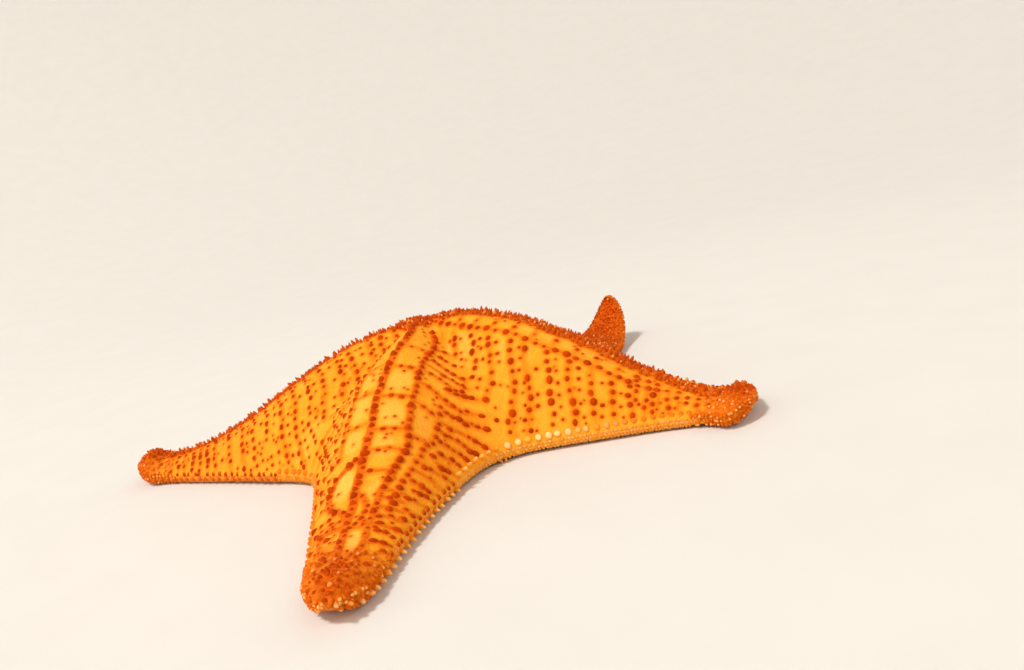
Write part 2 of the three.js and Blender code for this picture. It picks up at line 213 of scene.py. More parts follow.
def pose(arm, x, y, z):
    """Places of points of the straight body form on the posed arm."""
    bend_radius = (ARM_LENGTH - arm["turn_from"]) / math.radians(arm["turn_up"])
    angle = np.maximum(0.0, x - arm["turn_from"]) / bend_radius
    reach = np.minimum(x, arm["turn_from"]) + (bend_radius - z) * np.sin(angle)
    height = z + (bend_radius - z) * (1.0 - np.cos(angle))
    out = np.maximum(0.0, (reach - ROOT) / (ARM_LENGTH - ROOT))
    along = reach + (arm["length"] - ARM_LENGTH) * out ** STRETCH_POWER
    across = y + arm["swing"] * out ** SWING_POWER + arm["curl"] * out ** CURL_POWER
    c = math.cos(math.radians(arm["azimuth"]))
    s = math.sin(math.radians(arm["azimuth"]))
    return np.stack([along * c - across * s, along * s + across * c, height], axis=-1)


def upper_point(arm, x, side):
    """side is the share of the arm's half width, and not of the length of skin."""
    y = side * half_width(arm, x)
    return pose(arm, x, y * end_cap(x, arm["rounding"]), upper_height(arm, x, y))


def under_point(arm, x, side):
    y = side * half_width(arm, x)
    return pose(arm, x, y * end_cap(x, arm["rounding"]), under_height(arm, x, y))


def unit(vectors):
    return vectors / np.maximum(1e-12, np.linalg.norm(vectors, axis=-1, keepdims=True))


SMALL_STEP = 0.4  # for directions taken from small differences


def facing(point_at, arm, x, side):
    """Unit normals of the surface point_at, pointing up on the upper side."""
    inside = np.clip(x, SMALL_STEP, ARM_LENGTH - 1.5 * SMALL_STEP)
    side = np.clip(side, -0.99, 0.99)
    side_step = SMALL_STEP / np.maximum(2.0, half_width(arm, inside))
    along = point_at(arm, inside + SMALL_STEP, side) - point_at(arm, inside - SMALL_STEP, side)
    across = point_at(arm, inside, side + side_step) - point_at(arm, inside, side - side_step)
    return unit(np.cross(along, across))


def gone_along(steps):
    """Distance gone at each point of a line, from the steps between its points."""
    return np.concatenate([[0.0], np.cumsum(steps)])


def by_sign(pair, sign):
    """The one of a pair that belongs to the right flank, -1, or to the left one, 1."""
    return pair[0 if sign < 0 else 1]


class Chart:
    """Where places on the upper side of one arm are, given by x and their share of a flank's skin."""

    X_STEP = 0.5
    SHARES = np.linspace(-1.0, 1.0, 121)
    SIDES = np.linspace(-1.0, 1.0, 241)

    def __init__(self, arm):
        self.arm = arm
        self.stations = np.arange(0.0, ARM_LENGTH + 0.01, self.X_STEP)
        inside = np.clip(self.stations, 0.2, ARM_LENGTH - 0.2)
        points = upper_point(arm, *np.meshgrid(inside, self.SIDES, indexing="ij"))
        steps = np.linalg.norm(np.diff(points, axis=1), axis=-1)
        arc = np.concatenate([np.zeros((len(inside), 1)), np.cumsum(steps, axis=1)], axis=1)
        arc -= arc[:, len(self.SIDES) // 2, None].copy()
        self.flank = {-1: -arc[:, 0], 1: arc[:, -1]}
        arcs = [self.SHARES * np.where(self.SHARES < 0.0, -row[0], row[-1]) for row in arc]
        self.sides = np.array([np.interp(at, row, self.SIDES) for at, row in zip(arcs, arc)])

    def length(self, x, sign):
        """Length of skin from the crest to the margin on one flank, in millimetres."""
        return np.interp(x, self.stations, self.flank[sign])

    def flank_length(self, x, signed):
        """The same for the flank on which each arc or share lies."""
        return np.where(signed < 0.0, self.length(x, -1), self.length(x, 1))

    def share(self, x, arc):
        return arc / np.maximum(0.5, self.flank_length(x, arc))

    def arc(self, x, share):
        return share * self.flank_length(x, share)

    def side(self, x, share):
        """Share of the half width, from the share of the flank's skin."""
        i = np.clip((x / self.X_STEP).astype(int), 0, len(self.stations) - 2)
        f = np.clip(x / self.X_STEP - i, 0.0, 1.0)
        place = (np.clip(share, -1.0, 1.0) + 1.0) * 0.5 * (len(self.SHARES) - 1)
        j = np.clip(place.astype(int), 0, len(self.SHARES) - 2)
        g = place - j
        low = self.sides[i, j] * (1 - g) + self.sides[i, j + 1] * g
        high = self.sides[i + 1, j] * (1 - g) + self.sides[i + 1, j + 1] * g
        return low * (1 - f) + high * f

    def point(self, x, share):
        return upper_point(self.arm, x, self.side(x, share))

    def normal(self, x, share):
        return facing(upper_point, self.arm, x, self.side(x, share))


CHARTS = [Chart(arm) for arm in ARMS]
mouth_low, mouth_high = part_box("mouth_plates")
STAR_CENTRE = np.array([(mouth_low.x + mouth_high.x) / 2, (mouth_low.y + mouth_high.y) / 2, 0.0])


def in_frame(points):
    """Millimetres in the star's own frame to metres in the row's frame."""
    return points * MM + STAR_CENTRE


# ---------------------------------------------------------------- unwrap used by the skin and the coat

UNWRAP_COLUMNS = 4
UNWRAP_ROWS = 3
UNWRAP_SCALE = 0.00224  # per millimetre of skin
PATCH_RADIUS = 0.0015  # of one small thing's unwrap
CELL_FOOT = 0.015  # room left under each cell


def unwrapped(arm_index, x, arc, under=False):
    """Where a point of the skin lies on the flat layout: one cell for each side of each arm."""
    cell = arm_index + (len(ARMS) if under else 0)
    u = (cell % UNWRAP_COLUMNS + 0.5) / UNWRAP_COLUMNS + arc * UNWRAP_SCALE
    v = (cell // UNWRAP_COLUMNS + CELL_FOOT) / UNWRAP_ROWS + x * UNWRAP_SCALE
    return np.stack([u, v], axis=-1)


# ---------------------------------------------------------------- mesh making

def add_field(mesh, key, values):
    """Gives each point of a mesh a value that the materials can read."""
    attribute = mesh.attributes.new(key, "FLOAT", "POINT")
    attribute.data.foreach_set("value", values.astype(np.float32))


def read_field(mesh, key):
    values = np.zeros(len(mesh.vertices), np.float32)
    mesh.attributes[key].data.foreach_get("value", values)
    return values.astype(float)


def read_vectors(items, name):
    values = np.zeros(len(items) * 3, np.float32)
    items.foreach_get(name, values)
    return values.reshape(-1, 3).astype(float)


def mesh_object(name, points, faces, fields=None, uv=None):
    """A smooth mesh from points in millimetres and arrays of equal-sided faces. uv is per point."""
    mesh = bpy.data.meshes.new(name)
    sizes = np.concatenate([np.full(len(f), f.shape[1]) for f in faces])
    corners = np.concatenate([f.ravel() for f in faces])
    mesh.vertices.add(len(points))
    mesh.vertices.foreach_set("co", in_frame(points).astype(np.float32).ravel())
    mesh.loops.add(len(corners))
    mesh.loops.foreach_set("vertex_index", corners.astype(np.int32))
    mesh.polygons.add(len(sizes))
    mesh.polygons.foreach_set("loop_start", (np.cumsum(sizes) - sizes).astype(np.int32))
    mesh.polygons.foreach_set("use_smooth", np.ones(len(sizes), dtype=bool))
    if uv is not None:
        layer = mesh.uv_layers.new(name="OFBake", do_init=False)
        layer.uv.foreach_set("vector", uv[corners].astype(np.float32).ravel())
    for key, values in (fields or {}).items():
        add_field(mesh, key, values)
    mesh.update(calc_edges=True)
    mesh.validate()
    piece = bpy.data.objects.new(name, mesh)
    bpy.context.scene.collection.objects.link(piece)
    return piece


def weld(piece, distance):
    """Joins the points of a mesh that lie together."""
    work = bmesh.new()
    work.from_mesh(piece.data)
    bmesh.ops.remove_doubles(work, verts=work.verts, dist=distance)
    work.to_mesh(piece.data)
    work.free()
    piece.data.update()


def knob_template(profile, segments):
    """A small knob on the unit circle: rings of (radius, height), closed by one point on top. Gives
    its points and faces, and how high and how near the rim of its unwrap each point is."""
    turns = np.arange(segments) * 2 * math.pi / segments
    points = []
    for k, (radius, height) in enumerate(profile[:-1]):
        twisted = turns + 0.5 * k * turns[1]
        ring = [radius * np.cos(twisted), radius * np.sin(twisted), np.full(segments, height)]
        points.append(np.stack(ring, axis=-1))
    top = profile[-1][1]
    points = np.concatenate(points + [np.array([[0.0, 0.0, top]])])
    near = np.arange(segments)
    after = (near + 1) % segments
    last = (len(profile) - 2) * segments
    faces = []
    for low in range(0, last, segments):
        high = low + segments
        faces.append(np.stack([low + near, low + after, high + near], axis=-1))
        faces.append(np.stack([low + after, high + after, high + near], axis=-1))
    faces.append(np.stack([last + near, last + after, np.full(segments, last + segments)], axis=-1))
    ring_of = np.arange(len(points)) // segments
    rise = np.clip(points[:, 2] / top, 0.0, 1.0)
    return points, np.concatenate(faces), rise, 1.0 - ring_of / (len(profile) - 1)


# A tubercle as a blunt cone with a flared foot sunk in the skin, a plainer one for the small ones,
# a pale nub and a granule for the margins, a slim spine, and a tube foot with its sucker.
KNOB = knob_template([(1.36, -0.30), (1.05, 0.04), (0.86, 0.38), (0.62, 0.70), (0.33, 0.93),
                      (0, 1.0)], 9)
DOT = knob_template([(1.30, -0.35), (0.98, 0.10), (0.62, 0.68), (0, 1.0)], 7)
NUB = knob_template([(1.10, -0.35), (1.06, 0.05), (0.95, 0.42), (0.74, 0.74), (0.40, 0.95),
                     (0, 1.0)], 9)
GRANULE = knob_template([(1.12, -0.40), (1.0, 0.15), (0.74, 0.72), (0, 1.0)], 6)
SPINE = knob_template([(1.15, -0.20), (0.95, 0.10), (0.80, 0.50), (0.55, 0.86), (0, 1.0)], 6)
FOOT = knob_template([(0.95, -0.10), (0.72, 0.20), (0.62, 0.60), (0.66, 0.82), (1.05, 0.90),
                      (1.02, 0.98), (0, 0.97)], 8)
FLOOR_CLEARANCE = 0.02


def above_floor(root, normal, height):
    """The height, cut down where the thing would go through the floor."""
    down = np.maximum(0.2, -normal[:, 2])
    return np.minimum(height, (root[:, 2] - FLOOR_CLEARANCE) / down)


def under_seat(arm, x, side):
    """Root and outward normal on the underside."""
    return under_point(arm, x, side), -facing(under_point, arm, x, side)


class Growth:
    """Small things of one template growing from the skin, to be joined in one mesh."""

    def __init__(self, template):
        self.template = template
        self.batches = []

    def add(self, arm_index, x, arc, root, normal, radius, height, under=False, stretch=1.0,
            toward=(0.0, 0.0, 0.0), **looks):
        """stretch lengthens them in the direction toward, where one is given."""
        count = len(x)
        columns = dict(radius=radius, height=height, stretch=stretch, **looks)
        batch = {key: np.broadcast_to(np.asarray(value, dtype=float), (count,))
                 for key, value in columns.items()}
        batch.update(root=root, normal=normal, uv=unwrapped(arm_index, x, arc, under),
                     toward=np.broadcast_to(toward, (count, 3)))
        self.batches.append(batch)

    def add_under(self, arm_index, x, side, radius, height, **looks):
        """Adds them on the underside, at shares of the half width."""
        root, normal = under_seat(ARMS[arm_index], x, side)
        self.add(arm_index, x, side * half_width(ARMS[arm_index], x), root, normal, radius,
                 above_floor(root, normal, height), under=True, **looks)

    def joined(self, key):
        return np.concatenate([batch[key] for batch in self.batches])

    def build(self, name, rng, looks, lean=0.12, oval=0.1):
        """One mesh of all of them, each turned, leaned and squeezed a little."""
        base, faces, rise, spread = self.template
        root, radius = self.joined("root"), self.joined("radius")
        toward, stretch = self.joined("toward"), self.joined("stretch")
        count = len(root)
        normal = unit(self.joined("normal") + lean * rng.standard_normal((count, 3)))
        anyhow = unit(rng.standard_normal((count, 3)))
        aimed = np.linalg.norm(toward, axis=1, keepdims=True) > 0.5
        across = unit(np.cross(normal, np.where(aimed, toward, anyhow)))
        along = np.cross(normal, across)
        wide = radius * (1.0 + oval * rng.uniform(-1, 1, count)) / np.sqrt(stretch)
        deep = radius * (1.0 + oval * rng.uniform(-1, 1, count)) * stretch
        axes = ((wide, across), (deep, along), (self.joined("height"), normal))
        points = root[:, None, :]
        for k, (size, axis) in enumerate(axes):
            points = points + base[None, :, k, None] * (size[:, None] * axis)[:, None, :]
        points[..., 2] = np.maximum(points[..., 2], FLOOR_CLEARANCE)
        flat = unit(base[:, :2] + 1e-9) * spread[:, None]
        uv = self.joined("uv")[:, None, :] + PATCH_RADIUS * flat[None, :, :]
        index = faces[None, :, :] + (np.arange(count) * len(base))[:, None, None]
        fields = {"rise": np.tile(rise, count), "hue": np.repeat(rng.random(count), len(base))}
        fields.update({key: np.repeat(self.joined(key), len(base)) for key in looks})
        return mesh_object(name, points.reshape(-1, 3), [index.reshape(-1, 3)], fields,
                           uv.reshape(-1, 2))


# ---------------------------------------------------------------- pattern of rows and columns

# Rows are paths of (x, arc), where arc is the distance from the crest in millimetres of skin and is
# negative on the arm's right flank. Each row is (path, power of its line, radius and pitch of its
# beads). Rungs are (x, from arc, to arc, power). Columns are (sign of the flank, first x, last x,
# pitch, from arc, to arc or None for the margin, slant, power, radius, spacing). Pale cells are
# (x, arc, half length, half width, strength).
BEAD_HEIGHT = 0.95  # of a tubercle's radius, as the next two
ROW_HEIGHT = 1.3
SPINE_HEIGHT = 3.3
SPINE_RADIUS = 0.64
# How pale the tops of the crest and disc spines are: partly their own colour, partly painted glint.
SPINE_PALE = 0.72
SPINE_PITCH = 1.9
CROWN_PITCH = 1.95
CROWN_RADIUS = (9.0, 17.0)  # of the crowded top of the disc, on its front and on its back
BAND_PITCH = 0.85  # between the rows of spines along a crest
NARROW_BAND = 2.0  # a crest whose band is no wider than this has no spines
MAIN_LINE = 0.9  # power from which a row's tubercles are the first to stay
STRONG_LINE = 0.8  # power from which they are taller, with small ones beside them
LINE_STEP = 0.5
FINE_STEP = 0.25
PATH_ROUNDING = 5.0
ROW_FADES = (94.0, 128.0)  # where the tubercles of the rows shrink
RUNG_BOW = 0.8
RUNG_PITCH = 3.6
RUNG_CLEAR = 1.2  # of the row from which the rung starts
RUNG_STRETCH = 1.2
FINE_COLUMN = (0.62, 4.2)  # radius and spacing of the small tubercles between two columns
WIDE_PITCH = 6.0  # columns farther apart than this have small tubercles between them
LONGEST_COLUMN = 60.0
CLEAR_OF_NUBS = 1.9  # how far from the margin the columns end
CLEAR_OF_RIM = 0.6
CLEAR_OF_SEAM = 0.5
BESIDE_RADIUS = 0.5
SPRINKLED_COUNT = 400
SPRINKLED_RADIUS = 0.4
FULL_WIDTH = 38.0  # half width of the arm up to which the sprinkled ones thin out
END_PITCH = 1.8
END_RADIUS = 0.64
END_HEIGHT = 1.6  # of the radius
STAGGER = 0.87  # distance of staggered rows, as a share of their pitch
FIRST_X = 0.6
LAST_X = ARM_LENGTH - 0.02

# Where there isn't room for all tubercles, the first kinds of these stay.
MAIN_ROW, SIDE_ROW, CROWN, END, COLUMN, BESIDE, SPRINKLED = range(7)


def plain_net(sign):
    """Rows, rungs and columns of a flank that follows the species and nothing more."""
    rows = [([(12, 7 * sign), (20, 11.5 * sign), (72, 11.5 * sign), (100, 8 * sign),
              (114, 6 * sign)], 0.7, 1.0, 3.8),
            ([(34, 26 * sign), (52, 26 * sign), (70, 21 * sign), (92, 14.5 * sign)], 0.4, 0.95, 4.2)]
    rungs = [(x, 1.5 * sign, 11.5 * sign, 0.45) for x in range(18, 100, 8)]
    columns = [(sign, 14, 112, 8.0, 12.5, None, 0.1, 0.3, 0.95, 3.9)]
    return rows, rungs, columns


def crest_row(shift):
    return [(3, 0), (28, shift), (98, shift), (130, 0), (138, 0)], 1.0, 1.1, 3.6


def front_net():
    """The net of the front arm, with the rings of lines and the pale cells that only it has."""
    rows = [([(3, 0), (25, 1), (50, 0.2), (58, -0.5), (70, 0.2), (80, -1.3), (93, -0.8), (101, 0),
              (110, -1), (120, -1), (134, 0)], 1.0, 1.25, 2.9),
            ([(81, -1.3), (84, -6), (88, -9.6), (94, -10.6), (100, -8.5), (104, -4), (107, -1)],
             0.95, 1.1, 2.8),
            ([(96, -1.5), (99, 2.5), (104, 4.5), (109, 3), (113, 0.8)], 0.7, 0.95, 2.6),
            ([(107, -1), (109, -6), (114, -9), (121, -7), (124, -1)], 0.8, 0.9, 2.5),
            ([(109, 3), (113, 6), (121, 6), (126, 2.5)], 0.85, 0.95, 2.5),
            ([(12, 8.5), (16, 10.5), (25, 12.5), (70, 12.8), (77, 13.2), (83, 10.6), (90, 10),
              (98, 7.5), (112, 6)], 0.85, 1.15, 3.3),
            ([(30, 29.5), (45, 29.5)], 0.55, 1.1, 3.8),
            ([(53, 23), (66, 23.5), (72, 20), (80, 16.5), (90, 13.5), (106, 11)], 0.3, 1.0, 3.3),
            ([(12, -7), (20, -11), (80, -11)], 0.5, 0.95, 3.6)]
    rungs = [(28, 2, 12, 0.35), (42, 2, 12, 0.4), (57, 1, 12, 0.62), (71.5, 1, 12, 0.62),
             (79.5, 0, 12, 0.45), (88.5, -1, 9.5, 0.65), (104, 4, 9, 0.5), (112, -3, 8, 0.5),
             (42, 13, 27, 0.35), (49, 13, 34, 0.62), (58, 13, 22, 0.5), (71.5, 13, 19, 0.5),
             (40, -2, -10.5, 0.4), (54, -2, -10.5, 0.4), (68, -2, -10.5, 0.4), (111, -2, -10, 0.9)]
    columns = [(1, 46, 124, 4.1, 24.5, None, -0.25, 0.68, 1.0, 2.6),
               (1, 76, 124, 4.0, 15.5, 24.5, -0.25, 0.62, 0.95, 2.6),
               (1, 14, 44, 4.8, 14.5, None, 0.05, 0.5, 0.85, 2.9),
               (1, 97, 130, 3.4, 7.5, 15.5, -0.25, 0.7, 0.95, 2.4),
               (-1, 104, 122, 3.6, 4.0, 12.5, 0.2, 0.25, 0.8, 2.9),
               (-1, 14, 112, 6.0, 12.5, None, 0.2, 0.2, 0.9, 4.6)]
    cells = [(92.5, -5.7, 6.5, 3.6, 1.0), (49.5, 6.3, 6.0, 4.6, 0.55), (64.5, 6.3, 6.0, 4.6, 0.7),
             (78, 5.5, 5.0, 4.0, 0.6), (96.5, 5.0, 5.0, 2.2, 0.5), (61, -6, 6.0, 3.6, 0.6),
             (75, -6, 5.0, 3.6, 0.7), (47, -6, 6.0, 3.6, 0.4), (115.5, -4.6, 4.6, 2.6, 0.95),
             (38, 21, 6.0, 6.0, 0.35), (64.5, 18, 5.5, 3.0, 0.3), (117.5, 2.6, 4.8, 2.0, 0.95)]
    return rows, rungs, columns, cells


def net_of(name):
    """Rows, rungs, columns and pale cells of one arm."""
    if name == "front":
        return front_net()
    right_rows, right_rungs, right_columns = plain_net(-1)
    left_rows, left_rungs, left_columns = plain_net(1)
    if name == "right":
        lower_row = [(10, -3.5), (18, -6.2), (30, -7.6), (50, -7.6), (76, -9.2), (98, -8.5), (108, -6)]
        rows = [crest_row(4.6), (lower_row, 0.42, 1.15, 3.9)] + left_rows
        rungs = [(x, 3, -7, 0.35) for x in range(14, 108, 8)] + left_rungs
        columns = [(-1, 14, 114, 7.9, 10.0, None, 0.22, 0.24, 1.0, 3.6),
                   (-1, 94, 132, 4.4, 2.5, None, 0.1, 0.3, 0.92, 2.9)] + left_columns
        return rows, rungs, columns, [(26, -17, 7.0, 7.0, 0.5), (45, -16, 2.5, 6.0, 0.4),
                                      (54, -15, 2.0, 6.0, 0.4), (66, -3, 20.0, 2.0, 0.3)]
    if name == "left":
        columns = [(1, 12, 98, 6.7, 1.5, None, -0.12, 0.22, 0.92, 3.7),
                   (1, 99, 129, 4.1, 1.5, None, -0.12, 0.3, 0.95, 3.0)] + right_columns
        return [crest_row(-2.5)] + right_rows, right_rungs, columns, [(48, 36, 12.0, 6.0, 0.3)]
    rows = [crest_row(0.0)] + right_rows + left_rows
    return rows, right_rungs + left_rungs, right_columns + left_columns, []


def redness(arm, x, arc):
    """0 along the arm, and 1 on the top of its red end."""
    right, left = arm["less_red"]
    less = np.where(arc < 0.0, right * smooth(-1.5, -8.0, arc), left * smooth(2.0, 10.0, arc))
    less = less * (1.0 - arm["red_tip"] * smooth(126.0, 138.0, x))
    return smooth(arm["red_from"] - 14.0, arm["red_from"] + 12.0, x) * (1.0 - less)


def sole_redness(arm, x):
    return arm["sole_red"] * redness(arm, x, 0.0)


def crowned(arm, x, share):
    """1 on the crowded top of the disc."""
    azimuth = math.radians(arm["azimuth"]) + np.arctan(share * SECTOR_SLOPE)
    front, back = CROWN_RADIUS
    radius = front + (back - front) * smooth(-0.5, 0.6, np.sin(azimuth))
    return smooth(radius + 1.5, radius - 1.5, x * np.hypot(1.0, share * SECTOR_SLOPE))


def along_path(path, step):
    """Places a step apart along a path of (x, arc) with rounded corners."""
    corners = np.array(path, float).T
    gone = gone_along(np.hypot(*np.diff(corners)))
    fine = np.arange(0.0, gone[-1], FINE_STEP)
    half = int(PATH_ROUNDING / FINE_STEP / 2)
    kernel = np.full(2 * half + 1, 1.0 / (2 * half + 1))
    at = np.arange(0.0, fine[-1], step)
    places = []
    for values in corners:
        values = np.pad(np.interp(fine, gone, values), half, mode="reflect", reflect_type="odd")
        places.append(np.interp(at, fine, np.convolve(values, kernel, mode="valid")))
    return places


def wavy(chart, x, arc):
    """Carries a place on the regular pattern to its place on the living one."""
    seed = chart.arm["seed"]
    waver = smooth(2.0, 20.0, x) * smooth(132.0, 112.0, x)
    along = 0.8 * np.sin(arc / 8.5 + seed) + 0.5 * np.sin(arc / 3.9 + 1.7 * seed + x / 21.0)
    across = 0.4 * np.sin(x / 10.5 + 2.3 * seed) + 0.35 * np.sin(x / 4.7 + seed)
    return x + waver * along, arc + waver * across


def with_room(points, radii, kinds, order):
    """The places that don't crowd an earlier one of the order."""
    kept = []
    cells = {}
    size = 2.6  # of the cells in which neighbours are looked up
    for i in order:
        a, b, c = (points[i] // size).astype(int)
        around = [cells.get((a + i_a, b + i_b, c + i_c), ())
                  for i_a in (-1, 0, 1) for i_b in (-1, 0, 1) for i_c in (-1, 0, 1)]
        apart = 1.5 if kinds[i] == SPRINKLED else 0.95
        if all(np.linalg.norm(points[i] - points[j]) > apart * (radii[i] + radii[j])
               for group in around for j in group):
            kept.append(i)
            cells.setdefault((a, b, c), []).append(i)
    return np.array(kept)


class Pattern:
    """The lines of one arm's skeleton net, and the tubercles on and between them."""

    def __init__(self, chart):
        self.chart, self.arm = chart, chart.arm
        self.rng = np.random.default_rng(self.arm["seed"])
        self.rows, self.rungs, self.columns, self.cells = net_of(self.arm["name"])
        self.lines = []
        self.knobs = []

    def line(self, x, arc, power):
        """A line of the net through places given by x and signed arc."""
        x, arc = wavy(self.chart, x, arc)
        self.lines.append(np.stack([x, arc, np.full(len(x), power)], axis=-1))

    def note(self, keep, **values):
        """Notes those tubercles that are kept. A value that is given once is for all of them."""
        self.knobs.append({key: np.broadcast_to(value, len(keep))[keep]
                           for key, value in values.items()})

    def beads(self, x, arc, radius, kind, missing=0.0, jitter=0.35, pale=0.0, tall=BEAD_HEIGHT,
              stretch=1.0, slope=0.0):
        """stretch lengthens them in the direction in which x grows by slope per step of arc."""
        x, arc = wavy(self.chart, x, arc)
        keep = self.rng.random(len(x)) >= missing
        x = x + jitter * self.rng.standard_normal(len(x))
        arc = arc + jitter * self.rng.standard_normal(len(x))
        radius = radius * np.clip(1.0 + 0.18 * self.rng.standard_normal(len(x)), 0.6, 1.25)
        self.note(keep, x=x, arc=arc, radius=radius, height=tall * radius, kind=kind, pale=pale,
                  stretch=stretch, slope=slope)

    def lay_rows(self):
        for path, power, radius, pitch in self.rows:
            self.line(*along_path(path, LINE_STEP), power)
            x, arc = along_path(path, pitch)
            radius = radius * (1.0 - 0.4 * smooth(*ROW_FADES, x))
            kind = MAIN_ROW if power > MAIN_LINE else SIDE_ROW
            tall = ROW_HEIGHT if power > STRONG_LINE else BEAD_HEIGHT
            self.beads(x, arc, radius, kind, missing=0.03, jitter=0.3, tall=tall)
            if power > STRONG_LINE:
                self.beads(*along_path(path, SPINE_PITCH), BESIDE_RADIUS, BESIDE, missing=0.4,
                           jitter=0.8)
        half = self.arm["crowd"]
        if half > NARROW_BAND:
            x, arc = along_path(self.rows[0][0], SPINE_PITCH)
            for offset in np.linspace(-half, half, 2 + int(half / BAND_PITCH)):
                self.beads(x, arc + offset, SPINE_RADIUS, COLUMN, missing=0.15, pale=SPINE_PALE,
                           tall=SPINE_HEIGHT)

    def lay_rungs(self):
        for x, low, high, power in self.rungs:
            path = [(x, low), (x + RUNG_BOW, 0.5 * (low + high)), (x, high)]
            self.line(*along_path(path, LINE_STEP), power)
            at, arc = along_path(path, RUNG_PITCH)
            inner = np.abs(arc - low) > RUNG_CLEAR
            self.beads(at[inner], arc[inner], 0.55 + 0.5 * power, COLUMN, missing=0.12,
                       jitter=0.3, stretch=RUNG_STRETCH)

    def lay_columns(self):
        for sign, first, last, pitch, low, high, *column in self.columns:
            for x in np.arange(first, last, pitch):
                x = x + 0.1 * pitch * self.rng.standard_normal()
                self.column(x, sign, low, high, *column, missing=0.07)
                if pitch > WIDE_PITCH:
                    self.column(x + pitch / 2, sign, low + 1.5, high, column[0], 0.0,
                                *FINE_COLUMN, missing=0.25)

    def column(self, x, sign, low, high, slant, power, radius, spacing, missing):
        """A column from low outwards, as far as the margin or the next arm allows."""
        reach = np.arange(low, high or LONGEST_COLUMN, LINE_STEP)
        at = x + slant * (reach - low)
        clear = CLEAR_OF_RIM if x > by_sign(self.arm["low_from"], sign) else CLEAR_OF_NUBS
        clear = np.where(at > ROOT - 3.0, clear, CLEAR_OF_SEAM)
        inside = reach < self.chart.length(at, sign) - clear
        reach = reach[:np.argmin(inside)] if not inside.all() else reach
        if len(reach) < 3:
            return
        if power > 0.0 and self.rng.random() < 0.8:
            self.line(x + slant * (reach - low), sign * reach, power)
        arc = np.arange(low + spacing * self.rng.uniform(0.2, 0.8), reach[-1], spacing)
        self.beads(x + slant * (arc - low), sign * arc, radius, COLUMN, missing=missing,
                   jitter=0.4, stretch=1.0 + 0.6 * power, slope=sign * slant)

    def lay_crown(self):
        """Crowded spines on the top of the disc."""
        reach = max(CROWN_RADIUS) + 1.0
        for i, x in enumerate(np.arange(0.8, reach, STAGGER * CROWN_PITCH)):
            y = np.arange(0.5 * (i % 2) * CROWN_PITCH - reach, reach, CROWN_PITCH)
            x, share = np.full(len(y), x), y / (x * SECTOR_SLOPE)
            keep = (np.abs(share) < 0.98) & (crowned(self.arm, x, share) > 0.5)
            x, share = x[keep], share[keep]
            self.beads(x, self.chart.arc(x, share), SPINE_RADIUS, CROWN, missing=0.05, jitter=0.3,
                       pale=SPINE_PALE, tall=SPINE_HEIGHT)

    def sprinkle(self):
        """Small ones between the rows, everywhere."""
        x = ARM_LENGTH * self.rng.random(SPRINKLED_COUNT) ** 0.75
        share = self.rng.uniform(-0.93, 0.93, SPRINKLED_COUNT)
        crowd = half_width(self.arm, x) / FULL_WIDTH
        keep = (x > 10.0) & (x < self.arm["red_from"] + 6.0)
        keep &= self.rng.random(SPRINKLED_COUNT) < crowd
        x, share = x[keep], share[keep]
        self.beads(x, self.chart.arc(x, share), SPRINKLED_RADIUS, SPRINKLED, jitter=0.0)

    def lay_end(self):
        """The crowded end of the arm, in rings a pitch apart where they are widest apart."""
        fine = np.linspace(self.arm["red_from"] - 4.0, LAST_X, 400)
        steps = [np.linalg.norm(np.diff(self.chart.point(fine, 0 * fine + share), axis=0), axis=-1)
                 for share in (-0.7, 0.0, 0.7)]
        gone = gone_along(np.max(steps, axis=0))
        for i, ring in enumerate(np.arange(0.0, gone[-1], 0.88 * END_PITCH)):
            for sign in (-1, 1):
                length = self.chart.length(np.interp(ring, gone, fine), sign) - 0.2
                arc = np.arange(END_PITCH * (0.25 + 0.5 * (i % 2)), length, END_PITCH)
                run = ring + 0.5 * self.rng.standard_normal(len(arc))
                keep = self.rng.random(len(arc)) > 0.12 + 0.3 * smooth(14.0, 0.0, run)
                less = by_sign(self.arm["less_red"], sign)
                pale = 0.6 + 0.4 * np.minimum(1.0, 1.2 * less) * smooth(3.0, 10.0, arc)
                radius = END_RADIUS + 0.12 * self.rng.standard_normal(len(arc))
                radius = np.clip(radius * smooth(-12.0, 6.0, run), 0.35, 0.95)
                arc = sign * (arc + 0.4 * self.rng.standard_normal(len(arc)))
                self.note(keep, x=np.interp(run, gone, fine), arc=arc, radius=radius,
                          height=END_HEIGHT * radius, kind=END, pale=pale, stretch=1.0, slope=0.0)

    def grow(self):
        self.lay_crown()
        self.lay_rows()
        self.lay_rungs()
        self.lay_columns()
        self.sprinkle()
        self.lay_end()
        return self

    def placed(self):
        """The tubercles that have room, with their places and directions on the skin."""
        every = {key: np.concatenate([batch[key] for batch in self.knobs])
                 for key in self.knobs[0]}
        order = np.argsort(every["kind"], kind="stable")
        every = {key: values[order] for key, values in every.items()}
        x = np.clip(every["x"], FIRST_X, LAST_X)
        share = np.clip(self.chart.share(x, every["arc"]), -1.0, 1.0)
        at_end = smooth(self.arm["red_from"] - 8.0, self.arm["red_from"] + 4.0, x)
        inside = (np.abs(share) < 0.965 + 0.03 * at_end) & (every["x"] > FIRST_X)
        inside &= (x > ROOT) | (np.abs(share) < 0.985)
        every.update(x=x, share=share, root=self.chart.point(x, share))
        kept = with_room(every["root"], every["radius"], every["kind"], np.flatnonzero(inside))
        every = {key: values[kept] for key, values in every.items()}
        near_x = np.clip(every["x"] + SMALL_STEP * every["slope"], FIRST_X, LAST_X)
        near_share = np.clip(self.chart.share(near_x, every["arc"] + SMALL_STEP), -1.0, 1.0)
        every["toward"] = unit(self.chart.point(near_x, near_share) - every["root"])
        return every


PATTERNS = [Pattern(chart).grow() for chart in CHARTS]
PLACED = [pattern.placed() for pattern in PATTERNS]


def tree_of(points):
    tree = KDTree(len(points))
    for i, point in enumerate(points):
        tree.insert(point, i)
    tree.balance()
    return tree


